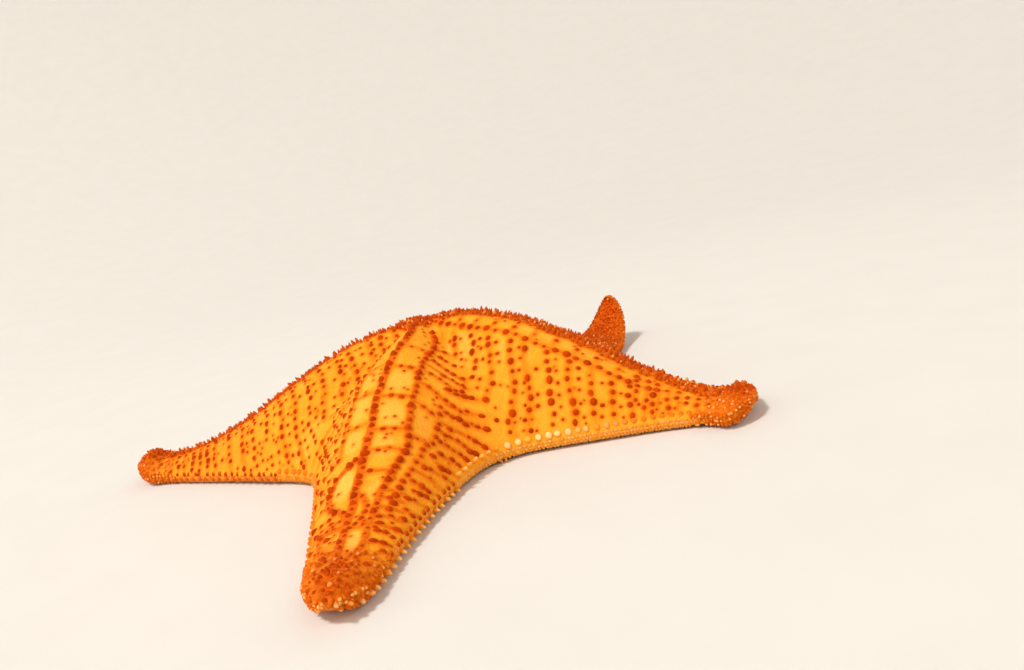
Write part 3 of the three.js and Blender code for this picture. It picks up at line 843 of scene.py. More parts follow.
def net_points():
    """Places of all lines of the net, and how strong each line is there."""
    places, powers = [], []
    for chart, pattern in zip(CHARTS, PATTERNS):
        x, arc, power = np.concatenate(pattern.lines).T
        x = np.clip(x, 0.5, ARM_LENGTH - 0.5)
        share = chart.share(x, arc)
        inside = np.abs(share) < 0.99
        places.append(chart.point(x[inside], share[inside]))
        powers.append(power[inside])
    return np.concatenate(places), np.concatenate(powers)


# ---------------------------------------------------------------- skin

SHARED_LENGTH = 108.0  # the arms' stations are alike up to here
DISC_STATIONS = 73
ARM_STATIONS = 78
FREE_STATIONS = 44
CAP_STATIONS = 24
UPPER_COLUMNS = 136
SOLE_COLUMNS = 26
RIM_COLUMNS = 8
SCALLOP_PITCH = 4.3
WELD_DISTANCE = 0.00002
END_GAP_RED = 0.38  # least redness of the skin between the tubercles of the ends
# The skin's relief: ridges along the lines of the net, sunken fields between them, a swelling round
# each tubercle's foot, soft lumps, and the scallops of the margin.
RIDGE = 0.28
FIELD_DIP = 0.16
FOOT_SWELL = 0.18
LUMP = 0.14
LUMP_SIZE = 6.5
SCALLOP = 0.25
NO_LINE = 30.0  # distances given to the underside, which has neither lines nor tubercles
NO_SPOT = 10.0


def skin_stations(arm):
    cap_start = ARM_LENGTH - arm["rounding"]
    disc = np.linspace(0.0, ROOT, DISC_STATIONS)
    shared = np.linspace(ROOT, SHARED_LENGTH, ARM_STATIONS)[1:]
    free = np.linspace(SHARED_LENGTH, cap_start, FREE_STATIONS)[1:]
    turns = np.linspace(0.0, math.pi / 2, CAP_STATIONS)[1:]
    return np.concatenate([disc, shared, free, cap_start + arm["rounding"] * np.sin(turns)])


def under_shares(x):
    """Shares of the half width across the underside, closer together where it rounds up."""
    turns = np.linspace(0.0, math.pi / 2, RIM_COLUMNS + 1)[None, 1:]
    across = np.linspace(-1.0, 1.0, SOLE_COLUMNS + 1)[None, :]
    x = x[:, None]
    return np.hstack([on_rim(x, -1, turns[:, ::-1]), sole_edge(x) * across, on_rim(x, 1, turns)])


def grid_faces(rows, columns, start, flip):
    i, j = np.meshgrid(np.arange(rows - 1), np.arange(columns - 1), indexing="ij")
    a = start + i * columns + j
    corners = [a, a + columns, a + columns + 1, a + 1]
    if flip:
        corners.reverse()
    return np.stack([c.ravel() for c in corners], axis=-1)


def skin_fields(arm, pattern, x, share, arc, under):
    """What the material of the skin reads, for points of the upper side or of the underside."""
    edge = np.abs(arc) / np.maximum(1.0, outline(arm, x)) if under else np.abs(share)
    rim = smooth(sole_edge(x), 1.0, edge)
    ends = END_GAP_RED * smooth(arm["red_from"] - 5.0, arm["red_from"] + 5.0, x)
    on_top = np.maximum(redness(arm, x, arc), ends)
    on_sole = sole_redness(arm, x)
    upper = 0.0 if under else 1.0
    crest = np.interp(x, *np.array(pattern.rows[0][0], float).T)
    band = smooth(1.35 * arm["crowd"], 0.6 * arm["crowd"], np.abs(arc - crest))
    pallor = np.zeros(len(x))
    for x_cell, arc_cell, long, wide, strength in pattern.cells:
        away = np.hypot((x - x_cell) / long, (arc - arc_cell) / wide)
        pallor = np.maximum(pallor, strength * smooth(1.25, 0.6, away))
    # Painted shade: from x_from on, the flank beyond arc_from is marked to be given a deeper orange.
    x_from, arc_from, strength = arm["shade"]
    shade = strength * smooth(x_from - 12.0, x_from + 12.0, x) * smooth(-3.0, 3.0, arc - arc_from)
    return {"along": x, "edge": np.where(x < ROOT - 8.0, 0.8 * edge, edge),
            "under": 1.0 - rim if under else np.zeros(len(x)),
            "red": on_sole + (on_top - on_sole) * rim if under else on_top,
            "band": upper * np.maximum(band, crowned(arm, x, share)),
            "pallor": upper * pallor, "shade": upper * shade}


def make_skin():
    """One closed skin: two grids for each arm, over it and under it, welded where they meet."""
    points, faces, uv, fields = [], [], [], []
    start = 0
    for k, (arm, chart, pattern) in enumerate(zip(ARMS, CHARTS, PATTERNS)):
        stations = skin_stations(arm)
        upper_shares = np.tile(np.linspace(-1.0, 1.0, UPPER_COLUMNS + 1), (len(stations), 1))
        for under, shares in ((False, upper_shares), (True, under_shares(stations))):
            columns = shares.shape[1]
            x, share = np.repeat(stations, columns), shares.ravel()
            arc = share * half_width(arm, x) if under else chart.arc(x, share)
            points.append(under_point(arm, x, share) if under else chart.point(x, share))
            faces.append(grid_faces(len(stations), columns, start, under))
            uv.append(unwrapped(k, x, arc, under))
            fields.append(skin_fields(arm, pattern, x, share, arc, under))
            start += len(x)
    joined = {key: np.concatenate([part[key] for part in fields]) for key in fields[0]}
    skin = mesh_object("skin", np.concatenate(points), faces, joined, np.concatenate(uv))
    weld(skin, WELD_DISTANCE)
    return skin


def shape_skin(skin):
    """Measures the skin's distance to the net and the tubercles, and gives the skin its relief."""
    mesh = skin.data
    points = (read_vectors(mesh.vertices, "co") - STAR_CENTRE) / MM
    normals = read_vectors(mesh.vertex_normals, "vector")
    under, edge, along = (read_field(mesh, key) for key in ("under", "edge", "along"))
    places, powers = net_points()
    net = tree_of(places)
    radii = np.concatenate([placed["radius"] for placed in PLACED])
    knobs = tree_of(np.concatenate([placed["root"] for placed in PLACED]))
    distance = np.full(len(points), NO_LINE)
    power = np.zeros(len(points))
    spot = np.full(len(points), NO_SPOT)
    for i in np.flatnonzero(under < 0.5):
        _, j, distance[i] = net.find(points[i])
        power[i] = powers[j]
        spot[i] = min(d - radii[j] for _, j, d in knobs.find_n(points[i], 3))
    inner = smooth(1.0, 0.9, edge) * (1.0 - under)
    ridge = RIDGE * power * np.exp(-((distance / 1.2) ** 2))
    dip = FIELD_DIP * smooth(1.4, 3.6, distance) * smooth(0.2, 2.2, spot)
    foot = FOOT_SWELL * np.exp(-((np.maximum(0.0, spot) / 0.6) ** 2))
    lumps = LUMP * np.array([noise.noise(Vector(point / LUMP_SIZE)) for point in points])
    scallop = SCALLOP * np.cos(math.pi * along / SCALLOP_PITCH) ** 2 * smooth(0.86, 0.99, edge)
    scallop *= smooth(ROOT - 4.0, ROOT + 4.0, along)
    lift = ((ridge - dip + foot + lumps) * inner + scallop) * smooth(0.0, 0.6, points[:, 2])
    raised = in_frame(points + normals * lift[:, None])
    mesh.vertices.foreach_set("co", raised.astype(np.float32).ravel())
    for key, values in (("net", distance), ("power", power), ("spot", spot)):
        add_field(mesh, key, values)
    mesh.update()


# ---------------------------------------------------------------- coat

MOUTH_REACH = 9.6
MARGIN_PITCH = 3.6
NUB_INSET = 1.3
LOW_NUB_TURN = math.radians(62.0)
LOW_NUB_RED = 0.7
# Knobs along the top of the rim where the nubs grow low: turn, radius, height and pitch.
RIM_TOP = (math.radians(88.0), 0.85, 0.8, 3.3)
# Rows of granules on the lower plates, and of tubercles round the rim of the end of the arm: degrees
# round the rim from the sole, radius, height and pitch.
LOWER_ROWS = ((80, 0.62, 0.4, 1.45), (63, 0.62, 0.4, 1.4), (46, 0.6, 0.42, 1.4),
              (30, 0.56, 0.45, 1.35), (13, 0.36, 0.85, 1.3))
END_ROWS = ((89, 0.64, 1.1, 1.8), (70, 0.66, 1.05, 1.8), (46, 0.68, 1.0, 1.9), (22, 0.62, 0.8, 1.8))
ROW_UNEVENNESS = 0.15  # of the pitch
# Rows of spines beside a groove: distance from its edge, radius, height and pitch.
FURROW_ROWS = ((-0.35, 0.27, 1.9, 1.15), (0.55, 0.42, 1.5, 1.9))
FURROW_STOPS = 5.0
SOLE_PITCH = 2.9
HEEL_PITCH = 1.35
FOOT_PITCH = 2.3
SPINELET = (0.58, 1.25)  # radius and height, as the next two
HEEL_GRANULE = (0.62, 0.45)
TUBE_FOOT = (0.62, 4.8)
FOOT_OUT = 1.25  # from the middle of the groove
FOOT_UPRIGHT = np.array([0.2, 0.2, 1.0])
LAST_MARGIN_X = ARM_LENGTH - 0.05
BIG_TUBERCLE = 0.75  # radius from which a tubercle has the fuller shape


def margin_run(arm, pitch):
    """Stations along the margin, and round the end to its middle, a pitch apart along the outline."""
    x = skin_stations(arm)
    x = np.concatenate([np.linspace(ROOT, SHARED_LENGTH, 200), x[x > SHARED_LENGTH]])
    wide = outline(arm, x) * end_cap(x, arm["rounding"])
    gone = gone_along(np.hypot(np.diff(x), np.diff(wide)))
    return np.interp(np.arange(0.5 * pitch, gone[-1], pitch), gone, x)


def uneven_run(arm, pitch, rng):
    x = margin_run(arm, pitch)
    return x + ROW_UNEVENNESS * pitch * rng.standard_normal(len(x))


def grow_tubercles():
    """The tubercles of the upper side, two meshes for each arm."""
    made = []
    for k, (arm, chart, placed) in enumerate(zip(ARMS, CHARTS, PLACED)):
        rng = np.random.default_rng(100 + arm["seed"])
        placed = dict(placed, normal=chart.normal(placed["x"], placed["share"]))
        big = placed["radius"] >= BIG_TUBERCLE
        for name, template, chosen in (("tubercles", KNOB, big), ("small_tubercles", DOT, ~big)):
            growth = Growth(template)
            part = {key: placed[key][chosen] for key in (
                "x", "arc", "root", "normal", "radius", "height", "stretch", "toward", "pale")}
            growth.add(k, **part)
            made.append(growth.build(f"{name}_{arm['name']}", rng, ("pale",), oval=0.2))
    return made


def add_nubs(nubs, k, x, sign):
    """Nubs on the upper plates of one margin, or low on its rim where the arm has them there."""
    arm, chart = ARMS[k], CHARTS[k]
    pale, radius, height, shrink = by_sign(arm["nubs"], sign)
    near = smooth(104.0, 64.0, x)
    size = 1.0 - shrink + shrink * near
    share = sign * (1.0 - NUB_INSET / chart.length(x, sign))
    side = chart.side(x, share)
    normal = unit(facing(upper_point, arm, x, side) + np.array([0.0, 0.0, 0.05]))
    low_root, low_normal = under_seat(arm, x, on_rim(x, sign, LOW_NUB_TURN))
    sinks = x > by_sign(arm["low_from"], sign)
    root = np.where(sinks[:, None], low_root, upper_point(arm, x, side))
    normal = np.where(sinks[:, None], low_normal, normal)
    red = np.maximum(redness(arm, x - 4.0, sign * 12.0), LOW_NUB_RED * (1.0 - pale) * sinks)
    nubs.add(k, x, share * chart.length(x, sign), root, normal, radius * size, height * size,
             pale=pale * (near if shrink > 0.0 else 1.0), red=red)


def add_rim_rows(granules, knobs, k, sign, rng):
    """Granules on the lower plates of one margin, and tubercles at the end of the arm."""
    arm = ARMS[k]
    pale = by_sign(arm["nubs"], sign)[0]
    for growth, rows in ((granules, LOWER_ROWS), (knobs, END_ROWS)):
        for turn, radius, height, pitch in rows:
            x = np.minimum(uneven_run(arm, pitch, rng), LAST_MARGIN_X)
            at_end = x + 3.0 * rng.standard_normal(len(x)) > arm["red_from"] - 6.0
            x = x[at_end if growth is knobs else ~at_end]
            lower_pale = 0.15 + 0.6 * pale * (0.5 + 0.5 * smooth(104.0, 64.0, x))
            growth.add_under(k, x, on_rim(x, sign, math.radians(turn)), radius, height,
                             pale=0.9 if growth is knobs else lower_pale,
                             red=redness(arm, x + 4.0, sign * 8.0))


def grow_margins():
    """Nubs, knobs and granules round the margins, down to the sole."""
    made = []
    turn, radius, height, pitch = RIM_TOP
    for k, arm in enumerate(ARMS):
        rng = np.random.default_rng(200 + arm["seed"])
        nubs, granules, knobs = Growth(NUB), Growth(GRANULE), Growth(KNOB)
        stations = margin_run(arm, MARGIN_PITCH)
        for sign in (-1, 1):
            x = stations + 0.2 * rng.standard_normal(len(stations))
            add_nubs(nubs, k, np.minimum(x, LAST_MARGIN_X), sign)
            x = uneven_run(arm, pitch, rng)
            x = x[(x > by_sign(arm["low_from"], sign)) & (x < arm["red_from"] - 6.0)]
            knobs.add_under(k, x, on_rim(x, sign, turn), radius, height, pale=0.0)
            add_rim_rows(granules, knobs, k, sign, rng)
        name = arm["name"]
        made.append(nubs.build(f"margin_nubs_{name}", rng, ("pale", "red"), lean=0.1))
        made.append(granules.build(f"margin_granules_{name}", rng, ("pale", "red")))
        made.append(knobs.build(f"end_tubercles_{name}", rng, ("pale",), oval=0.2))
    return made


def sole_places(arm, rng):
    """Places in staggered rows over the sole and up under the end of the arm."""
    xs, ys = [], []
    first = GROOVE_HALF_WIDTH + 1.6
    for j in range(int(ROOT / SOLE_PITCH) + 2):
        y = first + j * 0.9 * SOLE_PITCH
        x = np.arange(8.0 + 0.5 * SOLE_PITCH * (j % 2), arm["turn_from"] - 2.0, SOLE_PITCH)
        wide = half_width(arm, x) * np.where(x < ROOT, 1.0, 0.92) * end_cap(x, arm["rounding"])
        x = x[(y < wide - 0.5) & (np.hypot(x, y) > MOUTH_REACH)]
        xs.append(x)
        ys.append(np.full(len(x), y))
    x, y = np.concatenate(xs), np.concatenate(ys)
    return x + 0.35 * rng.standard_normal(len(x)), y + 0.3 * rng.standard_normal(len(y))


def heel_places(arm):
    """x and side of places in staggered rows under the turned-up end of the arm and round its nose."""
    nose = NOSE * arm["rounding"]
    flat = np.arange(arm["turn_from"] - 2.0, ARM_LENGTH - nose, HEEL_PITCH)
    turns = np.arange(0.0, 0.5 * math.pi, HEEL_PITCH / (0.5 * (nose + TIP_MARGIN_HEIGHT)))
    xs, sides = [], []
    for i, x in enumerate(np.concatenate([flat, ARM_LENGTH - nose + nose * np.sin(turns)])):
        wide = outline(arm, x) * end_cap(x, arm["rounding"]) * sole_edge(x)
        across = np.arange(0.5 * (i % 2) * HEEL_PITCH - wide, wide, HEEL_PITCH)
        xs.append(np.full(len(across), x))
        sides.append(across / wide * sole_edge(x))
    return np.concatenate(xs), np.concatenate(sides)


def sole_seat(arm, x, y):
    """Root and outward normal on the underside, from x and y of the straight body form."""
    side = y / half_width(arm, x) / np.maximum(0.05, end_cap(x, arm["rounding"]))
    return under_seat(arm, x, np.clip(side, -0.97, 0.97))


def add_on_sole(growth, k, x, y, radius, height, pale):
    root, normal = sole_seat(ARMS[k], x, y)
    growth.add(k, x, y, root, normal, radius, above_floor(root, normal, height), under=True,
               pale=pale, red=sole_redness(ARMS[k], x))


def grow_underside():
    """Slim spines beside the grooves, tube feet in them, blunt spinelets over the sole, and granules
    under the ends."""
    made = []
    for k, arm in enumerate(ARMS):
        rng = np.random.default_rng(300 + arm["seed"])
        spines, spinelets, feet, heel = Growth(SPINE), Growth(SPINE), Growth(FOOT), Growth(GRANULE)
        x, side = heel_places(arm)
        heel.add_under(k, x, side, *HEEL_GRANULE, pale=0.25, red=sole_redness(arm, x))
        for sign in (-1, 1):
            for away, radius, height, pitch in FURROW_ROWS:
                stop = ARM_LENGTH - NOSE * arm["rounding"] - FURROW_STOPS
                x = np.arange(MOUTH_REACH + 1.0, stop, pitch)
                y = sign * (GROOVE_HALF_WIDTH + away + 0.1 * rng.standard_normal(len(x)))
                add_on_sole(spines, k, x, y, radius, height, 0.9)
            x, y = sole_places(arm, rng)
            radius, height = SPINELET
            big = np.where(rng.random(len(x)) < 0.25, 1.25, 1.0)
            add_on_sole(spinelets, k, x, sign * y, radius * big, height, 0.8)
            first = MOUTH_REACH + 0.6 * (sign > 0) * FOOT_PITCH
            x = np.arange(first, GROOVE_FADES_FROM + 6.0, FOOT_PITCH)
            y = sign * (FOOT_OUT + 0.1 * rng.standard_normal(len(x)))
            root, normal = sole_seat(arm, x, y)
            normal = normal * FOOT_UPRIGHT
            radius, height = TUBE_FOOT
            feet.add(k, x, y, root, unit(normal), radius, above_floor(root, normal, height) * 0.95,
                     under=True)
        name = arm["name"]
        made.append(spines.build(f"furrow_spines_{name}", rng, ("pale", "red"), lean=0.1))
        made.append(spinelets.build(f"sole_spinelets_{name}", rng, ("pale", "red")))
        made.append(heel.build(f"heel_granules_{name}", rng, ("pale", "red")))
        made.append(feet.build(f"tube_feet_{name}", rng, (), lean=0.1))
    return made


# ---------------------------------------------------------------- materials

class Nodes:
    """Shorthand for building one material's node tree."""

    def __init__(self, name):
        self.material = bpy.data.materials.new(name)
        self.material.use_nodes = True
        self.tree = self.material.node_tree
        self.shader = self.tree.nodes["Principled BSDF"]
        self.place = self.tree.nodes.new("ShaderNodeTexCoord").outputs["Object"]

    def put(self, socket, value):
        if isinstance(value, bpy.types.NodeSocket):
            self.tree.links.new(value, socket)
        elif isinstance(value, tuple) and len(value) == 3 and socket.type == "RGBA":
            socket.default_value = (*value, 1.0)
        else:
            socket.default_value = value

    def field(self, name):
        node = self.tree.nodes.new("ShaderNodeAttribute")
        node.attribute_name = name
        return node.outputs["Fac"]

    def math(self, operation, a, b=0.0):
        node = self.tree.nodes.new("ShaderNodeMath")
        node.operation = operation
        self.put(node.inputs[0], a)
        self.put(node.inputs[1], b)
        return node.outputs[0]

    def times(self, a, b):
        return self.math("MULTIPLY", a, b)

    def ramp(self, value, low, high, start=0.0, end=1.0):
        """Smooth step of value from start at low to end at high."""
        node = self.tree.nodes.new("ShaderNodeMapRange")
        node.interpolation_type = "SMOOTHSTEP"
        self.put(node.inputs["Value"], value)
        for key, number in (("From Min", low), ("From Max", high), ("To Min", start), ("To Max", end)):
            node.inputs[key].default_value = number
        return node.outputs["Result"]

    def mix(self, factor, a, b):
        node = self.tree.nodes.new("ShaderNodeMix")
        node.data_type = "RGBA"
        self.put(node.inputs["Factor"], factor)
        self.put(node.inputs["A"], a)
        self.put(node.inputs["B"], b)
        return node.outputs["Result"]

    def noise(self, size_mm, detail=3.0, roughness=0.55):
        """Noise from 0 to 1 with features of about size_mm."""
        node = self.tree.nodes.new("ShaderNodeTexNoise")
        node.inputs["Scale"].default_value = 1.0 / (size_mm * MM)
        node.inputs["Detail"].default_value = detail
        node.inputs["Roughness"].default_value = roughness
        self.put(node.inputs["Vector"], self.place)
        return node.outputs["Fac"]

    def granules(self, size_mm):
        """Distance from the middle of the nearest granule, 0 to about 0.7."""
        node = self.tree.nodes.new("ShaderNodeTexVoronoi")
        node.inputs["Scale"].default_value = 1.0 / (size_mm * MM)
        self.put(node.inputs["Vector"], self.place)
        return node.outputs["Distance"]

    def bump(self, height, depth_mm, strength=1.0, over=None):
        node = self.tree.nodes.new("ShaderNodeBump")
        node.inputs["Distance"].default_value = depth_mm * MM
        node.inputs["Strength"].default_value = strength
        self.put(node.inputs["Height"], height)
        if over is not None:
            self.put(node.inputs["Normal"], over)
        return node.outputs["Normal"]

    def finish(self, colour, fine, roughness, normal, specular=0.5):
        """Connects the shader, between the two values of roughness where the noise fine goes."""
        self.put(self.shader.inputs["Base Color"], colour)
        self.put(self.shader.inputs["Roughness"], self.ramp(fine, 0.3, 0.7, *roughness))
        self.put(self.shader.inputs["Specular IOR Level"], specular)
        self.put(self.shader.inputs["Normal"], normal)
        return self.material


PALE_YELLOW = (0.98, 0.56, 0.085)
CELL_YELLOW = (0.96, 0.425, 0.026)
SKIN_ORANGE = (0.94, 0.30, 0.010)
DEEP_ORANGE = (0.80, 0.175, 0.006)
LINE_RED = (0.74, 0.125, 0.003)
DARK_RED = (0.42, 0.042, 0.0)
END_RED = (0.60, 0.064, 0.0)
GRANULE_ORANGE = (0.88, 0.22, 0.008)
CREAM = (0.98, 0.68, 0.26)
SPINE_TIP_AND_GLINT = (0.98, 0.46, 0.12)
ORAL_TAN = (0.84, 0.44, 0.14)
FOOT_TAN = (0.90, 0.60, 0.28)
SUCKER_CREAM = (0.95, 0.80, 0.55)


def skin_material():
    n = Nodes("granular_skin")
    net, power, spot, band = n.field("net"), n.field("power"), n.field("spot"), n.field("band")
    edge, under, red = n.field("edge"), n.field("under"), n.field("red")
    blotch = n.noise(9.0, 2.0)
    fine = n.noise(1.3, 4.0, 0.65)
    grain = n.granules(0.75)
    rough_edge = n.times(n.math("SUBTRACT", fine, 0.5), 1.1)

    ragged = n.math("ADD", net, rough_edge)
    cell = n.times(n.ramp(ragged, 0.8, 2.4), n.ramp(blotch, 0.28, 0.52, 0.35, 1.0))
    cell = n.times(cell, n.ramp(n.noise(2.4, 3.0), 0.36, 0.56, 0.62, 1.0))
    colour = n.mix(cell, SKIN_ORANGE, CELL_YELLOW)
    pale = n.times(n.field("pallor"), n.ramp(ragged, 0.8, 2.0))
    colour = n.mix(n.times(pale, n.ramp(fine, 0.30, 0.55, 0.6, 1.0)), colour, PALE_YELLOW)
    colour = n.mix(n.ramp(blotch, 0.62, 0.80, 0.0, 0.3), colour, DEEP_ORANGE)
    reach = n.math("ADD", 0.30, n.times(n.times(power, power), 1.05))
    line = n.ramp(n.math("DIVIDE", ragged, reach), 1.35, 0.55)
    colour = n.mix(n.times(line, n.ramp(power, 0.1, 0.9, 0.45, 0.95)), colour, LINE_RED)
    colour = n.mix(n.times(line, n.ramp(power, 0.85, 1.0, 0.0, 0.6)), colour, END_RED)
    colour = n.mix(n.times(band, n.ramp(fine, 0.3, 0.6, 0.35, 0.85)), colour, LINE_RED)
    halo = n.math("ADD", spot, n.times(rough_edge, 0.5))
    colour = n.mix(n.ramp(halo, 1.6, 0.1, 0.0, 0.45), colour, DEEP_ORANGE)
    colour = n.mix(n.ramp(halo, 0.7, -0.1, 0.0, 0.85), colour, LINE_RED)
    speck = n.times(n.ramp(grain, 0.10, 0.34, 1.0, 0.0), n.ramp(fine, 0.52, 0.66))
    colour = n.mix(n.times(speck, 0.35), colour, DEEP_ORANGE)
    colour = n.mix(n.ramp(edge, 0.80, 0.96, 0.0, 0.35), colour, CELL_YELLOW)
    oral = n.mix(n.ramp(fine, 0.35, 0.65), ORAL_TAN, SKIN_ORANGE)
    oral = n.mix(n.ramp(n.field("along"), 96.0, 124.0, 0.0, 0.85), oral, SKIN_ORANGE)
    # Painted shade: a deeper orange on the flank that the shade field marks.
    colour = n.mix(n.field("shade"), colour, DEEP_ORANGE)
    colour = n.mix(n.times(under, 0.9), colour, oral)
    ends = n.mix(n.ramp(fine, 0.38, 0.62), DARK_RED, LINE_RED)
    colour = n.mix(n.times(red, 0.92), colour, ends)
    colour = n.mix(n.ramp(grain, 0.25, 0.55, 0.0, 0.16), colour, LINE_RED)
    height = n.math("SUBTRACT", 1.0, n.times(grain, 1.4))
    relief = n.bump(fine, 0.35, 0.5, n.bump(height, 0.16, 0.7))
    return n.finish(colour, fine, (0.55, 0.75), relief, specular=0.04)


def tubercle_material():
    n = Nodes("tubercle_skin")
    rise, hue, pale = n.field("rise"), n.field("hue"), n.field("pale")
    fine = n.noise(0.6, 3.0, 0.6)
    top = n.mix(hue, DARK_RED, END_RED)
    top = n.mix(n.ramp(pale, 0.5, 1.0, 0.0, 0.6), top, GRANULE_ORANGE)
    colour = n.mix(n.ramp(rise, 0.0, 0.35), LINE_RED, top)
    # Painted glint: some tubercles, picked by hue and pale, get a pale spot on their upper half, partly
    # their own pale tops and partly painted highlight.
    picked = n.math("ADD", hue, n.times(pale, 0.3))
    tip = n.times(n.ramp(rise, 0.42, 0.70), n.ramp(picked, 0.95, 1.07))
    colour = n.mix(n.times(tip, pale), colour, SPINE_TIP_AND_GLINT)
    colour = n.mix(n.ramp(fine, 0.5, 0.75, 0.0, 0.3), colour, DARK_RED)
    return n.finish(colour, fine, (0.5, 0.68), n.bump(fine, 0.15, 0.6), specular=0.04)


def margin_material():
    """For the margins and the underside: pale tops on an orange foot."""
    n = Nodes("pale_tipped_skin")
    rise, hue, pale, red = n.field("rise"), n.field("hue"), n.field("pale"), n.field("red")
    fine = n.noise(0.7, 3.0, 0.6)
    light = n.mix(hue, CELL_YELLOW, CREAM)
    top = n.mix(pale, DEEP_ORANGE, light)
    colour = n.mix(n.ramp(rise, 0.25, 0.75), SKIN_ORANGE, top)
    colour = n.mix(n.times(red, n.ramp(rise, 0.6, 1.0, 0.9, 0.5)), colour, END_RED)
    colour = n.mix(n.ramp(fine, 0.5, 0.75, 0.0, 0.2), colour, DEEP_ORANGE)
    return n.finish(colour, fine, (0.42, 0.6), n.bump(fine, 0.15, 0.5), specular=0.1)


def tube_foot_material():
    n = Nodes("tube_foot")
    fine = n.noise(0.5, 3.0, 0.6)
    colour = n.mix(n.ramp(n.field("rise"), 0.75, 0.95), FOOT_TAN, SUCKER_CREAM)
    colour = n.mix(n.ramp(fine, 0.45, 0.7, 0.0, 0.4), colour, DEEP_ORANGE)
    n.shader.inputs["Subsurface Weight"].default_value = 0.15
    n.shader.inputs["Subsurface Scale"].default_value = MM
    return n.finish(colour, fine, (0.3, 0.5), n.bump(fine, 0.12, 0.5))


def plate_material():
    n = Nodes("oral_plate")
    fine = n.noise(0.8, 4.0, 0.6)
    grain = n.granules(0.9)
    colour = n.mix(n.ramp(fine, 0.35, 0.65), CREAM, ORAL_TAN)
    colour = n.mix(n.ramp(grain, 0.3, 0.6, 0.0, 0.5), colour, DEEP_ORANGE)
    height = n.math("SUBTRACT", 1.0, grain)
    return n.finish(colour, fine, (0.5, 0.7), n.bump(height, 0.3, 0.9))


def sieve_material():
    n = Nodes("sieve_plate")
    fine = n.noise(1.1, 2.0, 0.5)
    furrow = n.math("ABSOLUTE", n.math("SUBTRACT", fine, 0.5))
    colour = n.mix(n.ramp(furrow, 0.02, 0.07), DEEP_ORANGE, CREAM)
    return n.finish(colour, fine, (0.6, 0.8), n.bump(n.ramp(furrow, 0.0, 0.08), 0.4))


# ---------------------------------------------------------------- studio

CAMERA_DISTANCE = 320.0  # millimetres
CAMERA_ELEVATION = math.radians(16.05)
CAMERA_HEADING = math.radians(6.53)
CAMERA_PITCH = math.radians(-10.38)
CAMERA_ROLL = math.radians(-12.88)
CAMERA_LENS = 26.2
STUDIO_RADIUS = 3.4  # metres, as the rest of the studio
STUDIO_SWEEP = 2.6
STUDIO_HEIGHT = 3.4
STUDIO_SEGMENTS = 96
FLOOR_COLOUR = (0.78, 0.755, 0.715)
FLOOR_SHADE = (0.72, 0.685, 0.64)


def make_camera():
    data = bpy.data.cameras.new("camera")
    data.sensor_width = 36.0
    data.lens = CAMERA_LENS
    data.clip_start = 0.01
    data.clip_end = 50.0
    camera = bpy.data.objects.new("camera", data)
    bpy.context.scene.collection.objects.link(camera)
    eye = CAMERA_DISTANCE * np.array([0.0, -math.cos(CAMERA_ELEVATION), math.sin(CAMERA_ELEVATION)])
    level = Vector((math.sin(CAMERA_HEADING), math.cos(CAMERA_HEADING), 0.0))
    right = Vector((level.y, -level.x, 0.0))
    forward = level * math.cos(CAMERA_PITCH) + Vector((0, 0, math.sin(CAMERA_PITCH)))
    above = right.cross(forward)
    rolled = right * math.cos(CAMERA_ROLL) + above * math.sin(CAMERA_ROLL)
    rows = Matrix((rolled, forward.cross(-rolled).normalized(), -forward)).transposed()
    camera.matrix_world = Matrix.Translation(Vector(in_frame(eye))) @ rows.to_4x4()
    bpy.context.scene.camera = camera


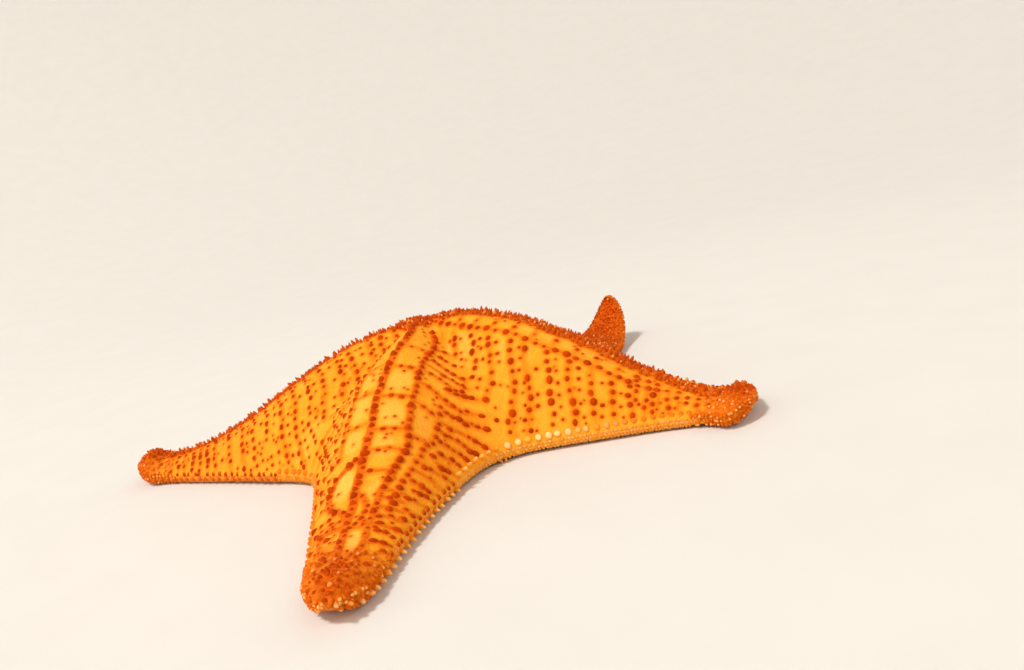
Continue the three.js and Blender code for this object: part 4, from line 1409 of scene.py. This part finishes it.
def make_studio():
    """A round pale floor that sweeps up into a wall all round."""
    level = STUDIO_RADIUS - STUDIO_SWEEP
    profile = [(0.02, 0.0), (0.6, 0.0), (level, 0.0)]
    for turn in np.linspace(0, math.pi / 2, 13)[1:]:
        out, up = STUDIO_SWEEP * math.sin(turn), STUDIO_SWEEP * (1 - math.cos(turn))
        profile.append((level + out, up))
    profile.append((STUDIO_RADIUS, STUDIO_HEIGHT))
    near = np.arange(STUDIO_SEGMENTS)
    after = (near + 1) % STUDIO_SEGMENTS
    angles = near * 2 * math.pi / STUDIO_SEGMENTS
    circle = np.stack([np.cos(angles), np.sin(angles), 0 * angles], axis=-1)
    points = np.concatenate([radius * circle + (0, 0, height) for radius, height in profile]
                            + [np.zeros((1, 3))])
    faces = []
    for low in range(0, (len(profile) - 1) * STUDIO_SEGMENTS, STUDIO_SEGMENTS):
        high = low + STUDIO_SEGMENTS
        faces.append(np.stack([low + near, high + near, high + after, low + after], axis=-1))
    faces.append(np.stack([np.full(len(near), len(points) - 1), near, after], axis=-1))
    studio = mesh_object("studio", points / MM, faces)
    n = Nodes("studio_paper")
    shade = n.noise(40.0, 2.0)
    colour = n.mix(n.ramp(shade, 0.3, 0.7, 0.0, 0.2), FLOOR_COLOUR, FLOOR_SHADE)
    n.put(n.shader.inputs["Base Color"], colour)
    n.shader.inputs["Roughness"].default_value = 0.9
    n.shader.inputs["Specular IOR Level"].default_value = 0.1
    studio.data.materials.append(n.material)


def add_light(name, azimuth, elevation, distance, size, power, colour):
    """A square soft box aimed at the disc. Azimuth is counted anticlockwise from +X."""
    data = bpy.data.lights.new(name, "AREA")
    data.size = size
    data.energy = power
    data.color = colour
    lamp = bpy.data.objects.new(name, data)
    bpy.context.scene.collection.objects.link(lamp)
    a, e = math.radians(azimuth), math.radians(elevation)
    out = Vector((math.cos(a) * math.cos(e), math.sin(a) * math.cos(e), math.sin(e)))
    lamp.location = Vector(STAR_CENTRE) + out * distance
    lamp.rotation_euler = (-out).to_track_quat("-Z", "Y").to_euler()


def make_lights():
    add_light("key", 208.0, 60.0, 5.0, 0.8, 165.0, (1.0, 0.97, 0.93))
    add_light("fill", -50.0, 34.0, 4.0, 3.0, 38.0, (1.0, 0.95, 0.88))
    add_light("back", 60.0, 40.0, 4.0, 3.0, 10.0, (0.95, 0.97, 1.0))
    world = bpy.data.worlds.new("studio_air")
    world.use_nodes = True
    world.node_tree.nodes["Background"].inputs["Color"].default_value = (1.0, 0.96, 0.90, 1.0)
    world.node_tree.nodes["Background"].inputs["Strength"].default_value = 0.25
    bpy.context.scene.world = world
    bpy.context.scene.view_settings.view_transform = "Standard"


# ---------------------------------------------------------------- putting it together

def settle(piece, material):
    piece.data.materials.clear()
    piece.data.materials.append(material)
    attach(piece, "root")


make_camera()
skin = make_skin()
shape_skin(skin)
settle(skin, skin_material())
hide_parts("disc", *[f"{part}_{arm['name']}" for arm in ARMS for part in ("arm", "tip")])

tubercle_skin = tubercle_material()
pale_skin = margin_material()
foot_skin = tube_foot_material()
for piece in grow_tubercles() + grow_margins() + grow_underside():
    if piece.name.startswith("tube_feet"):
        settle(piece, foot_skin)
    elif "tubercles" in piece.name:
        settle(piece, tubercle_skin)
    else:
        settle(piece, pale_skin)

for node, material in (("mouth_plates", plate_material()), ("madreporite", sieve_material())):
    for material_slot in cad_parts[node].material_slots:
        material_slot.material = material

make_studio()
make_lights()
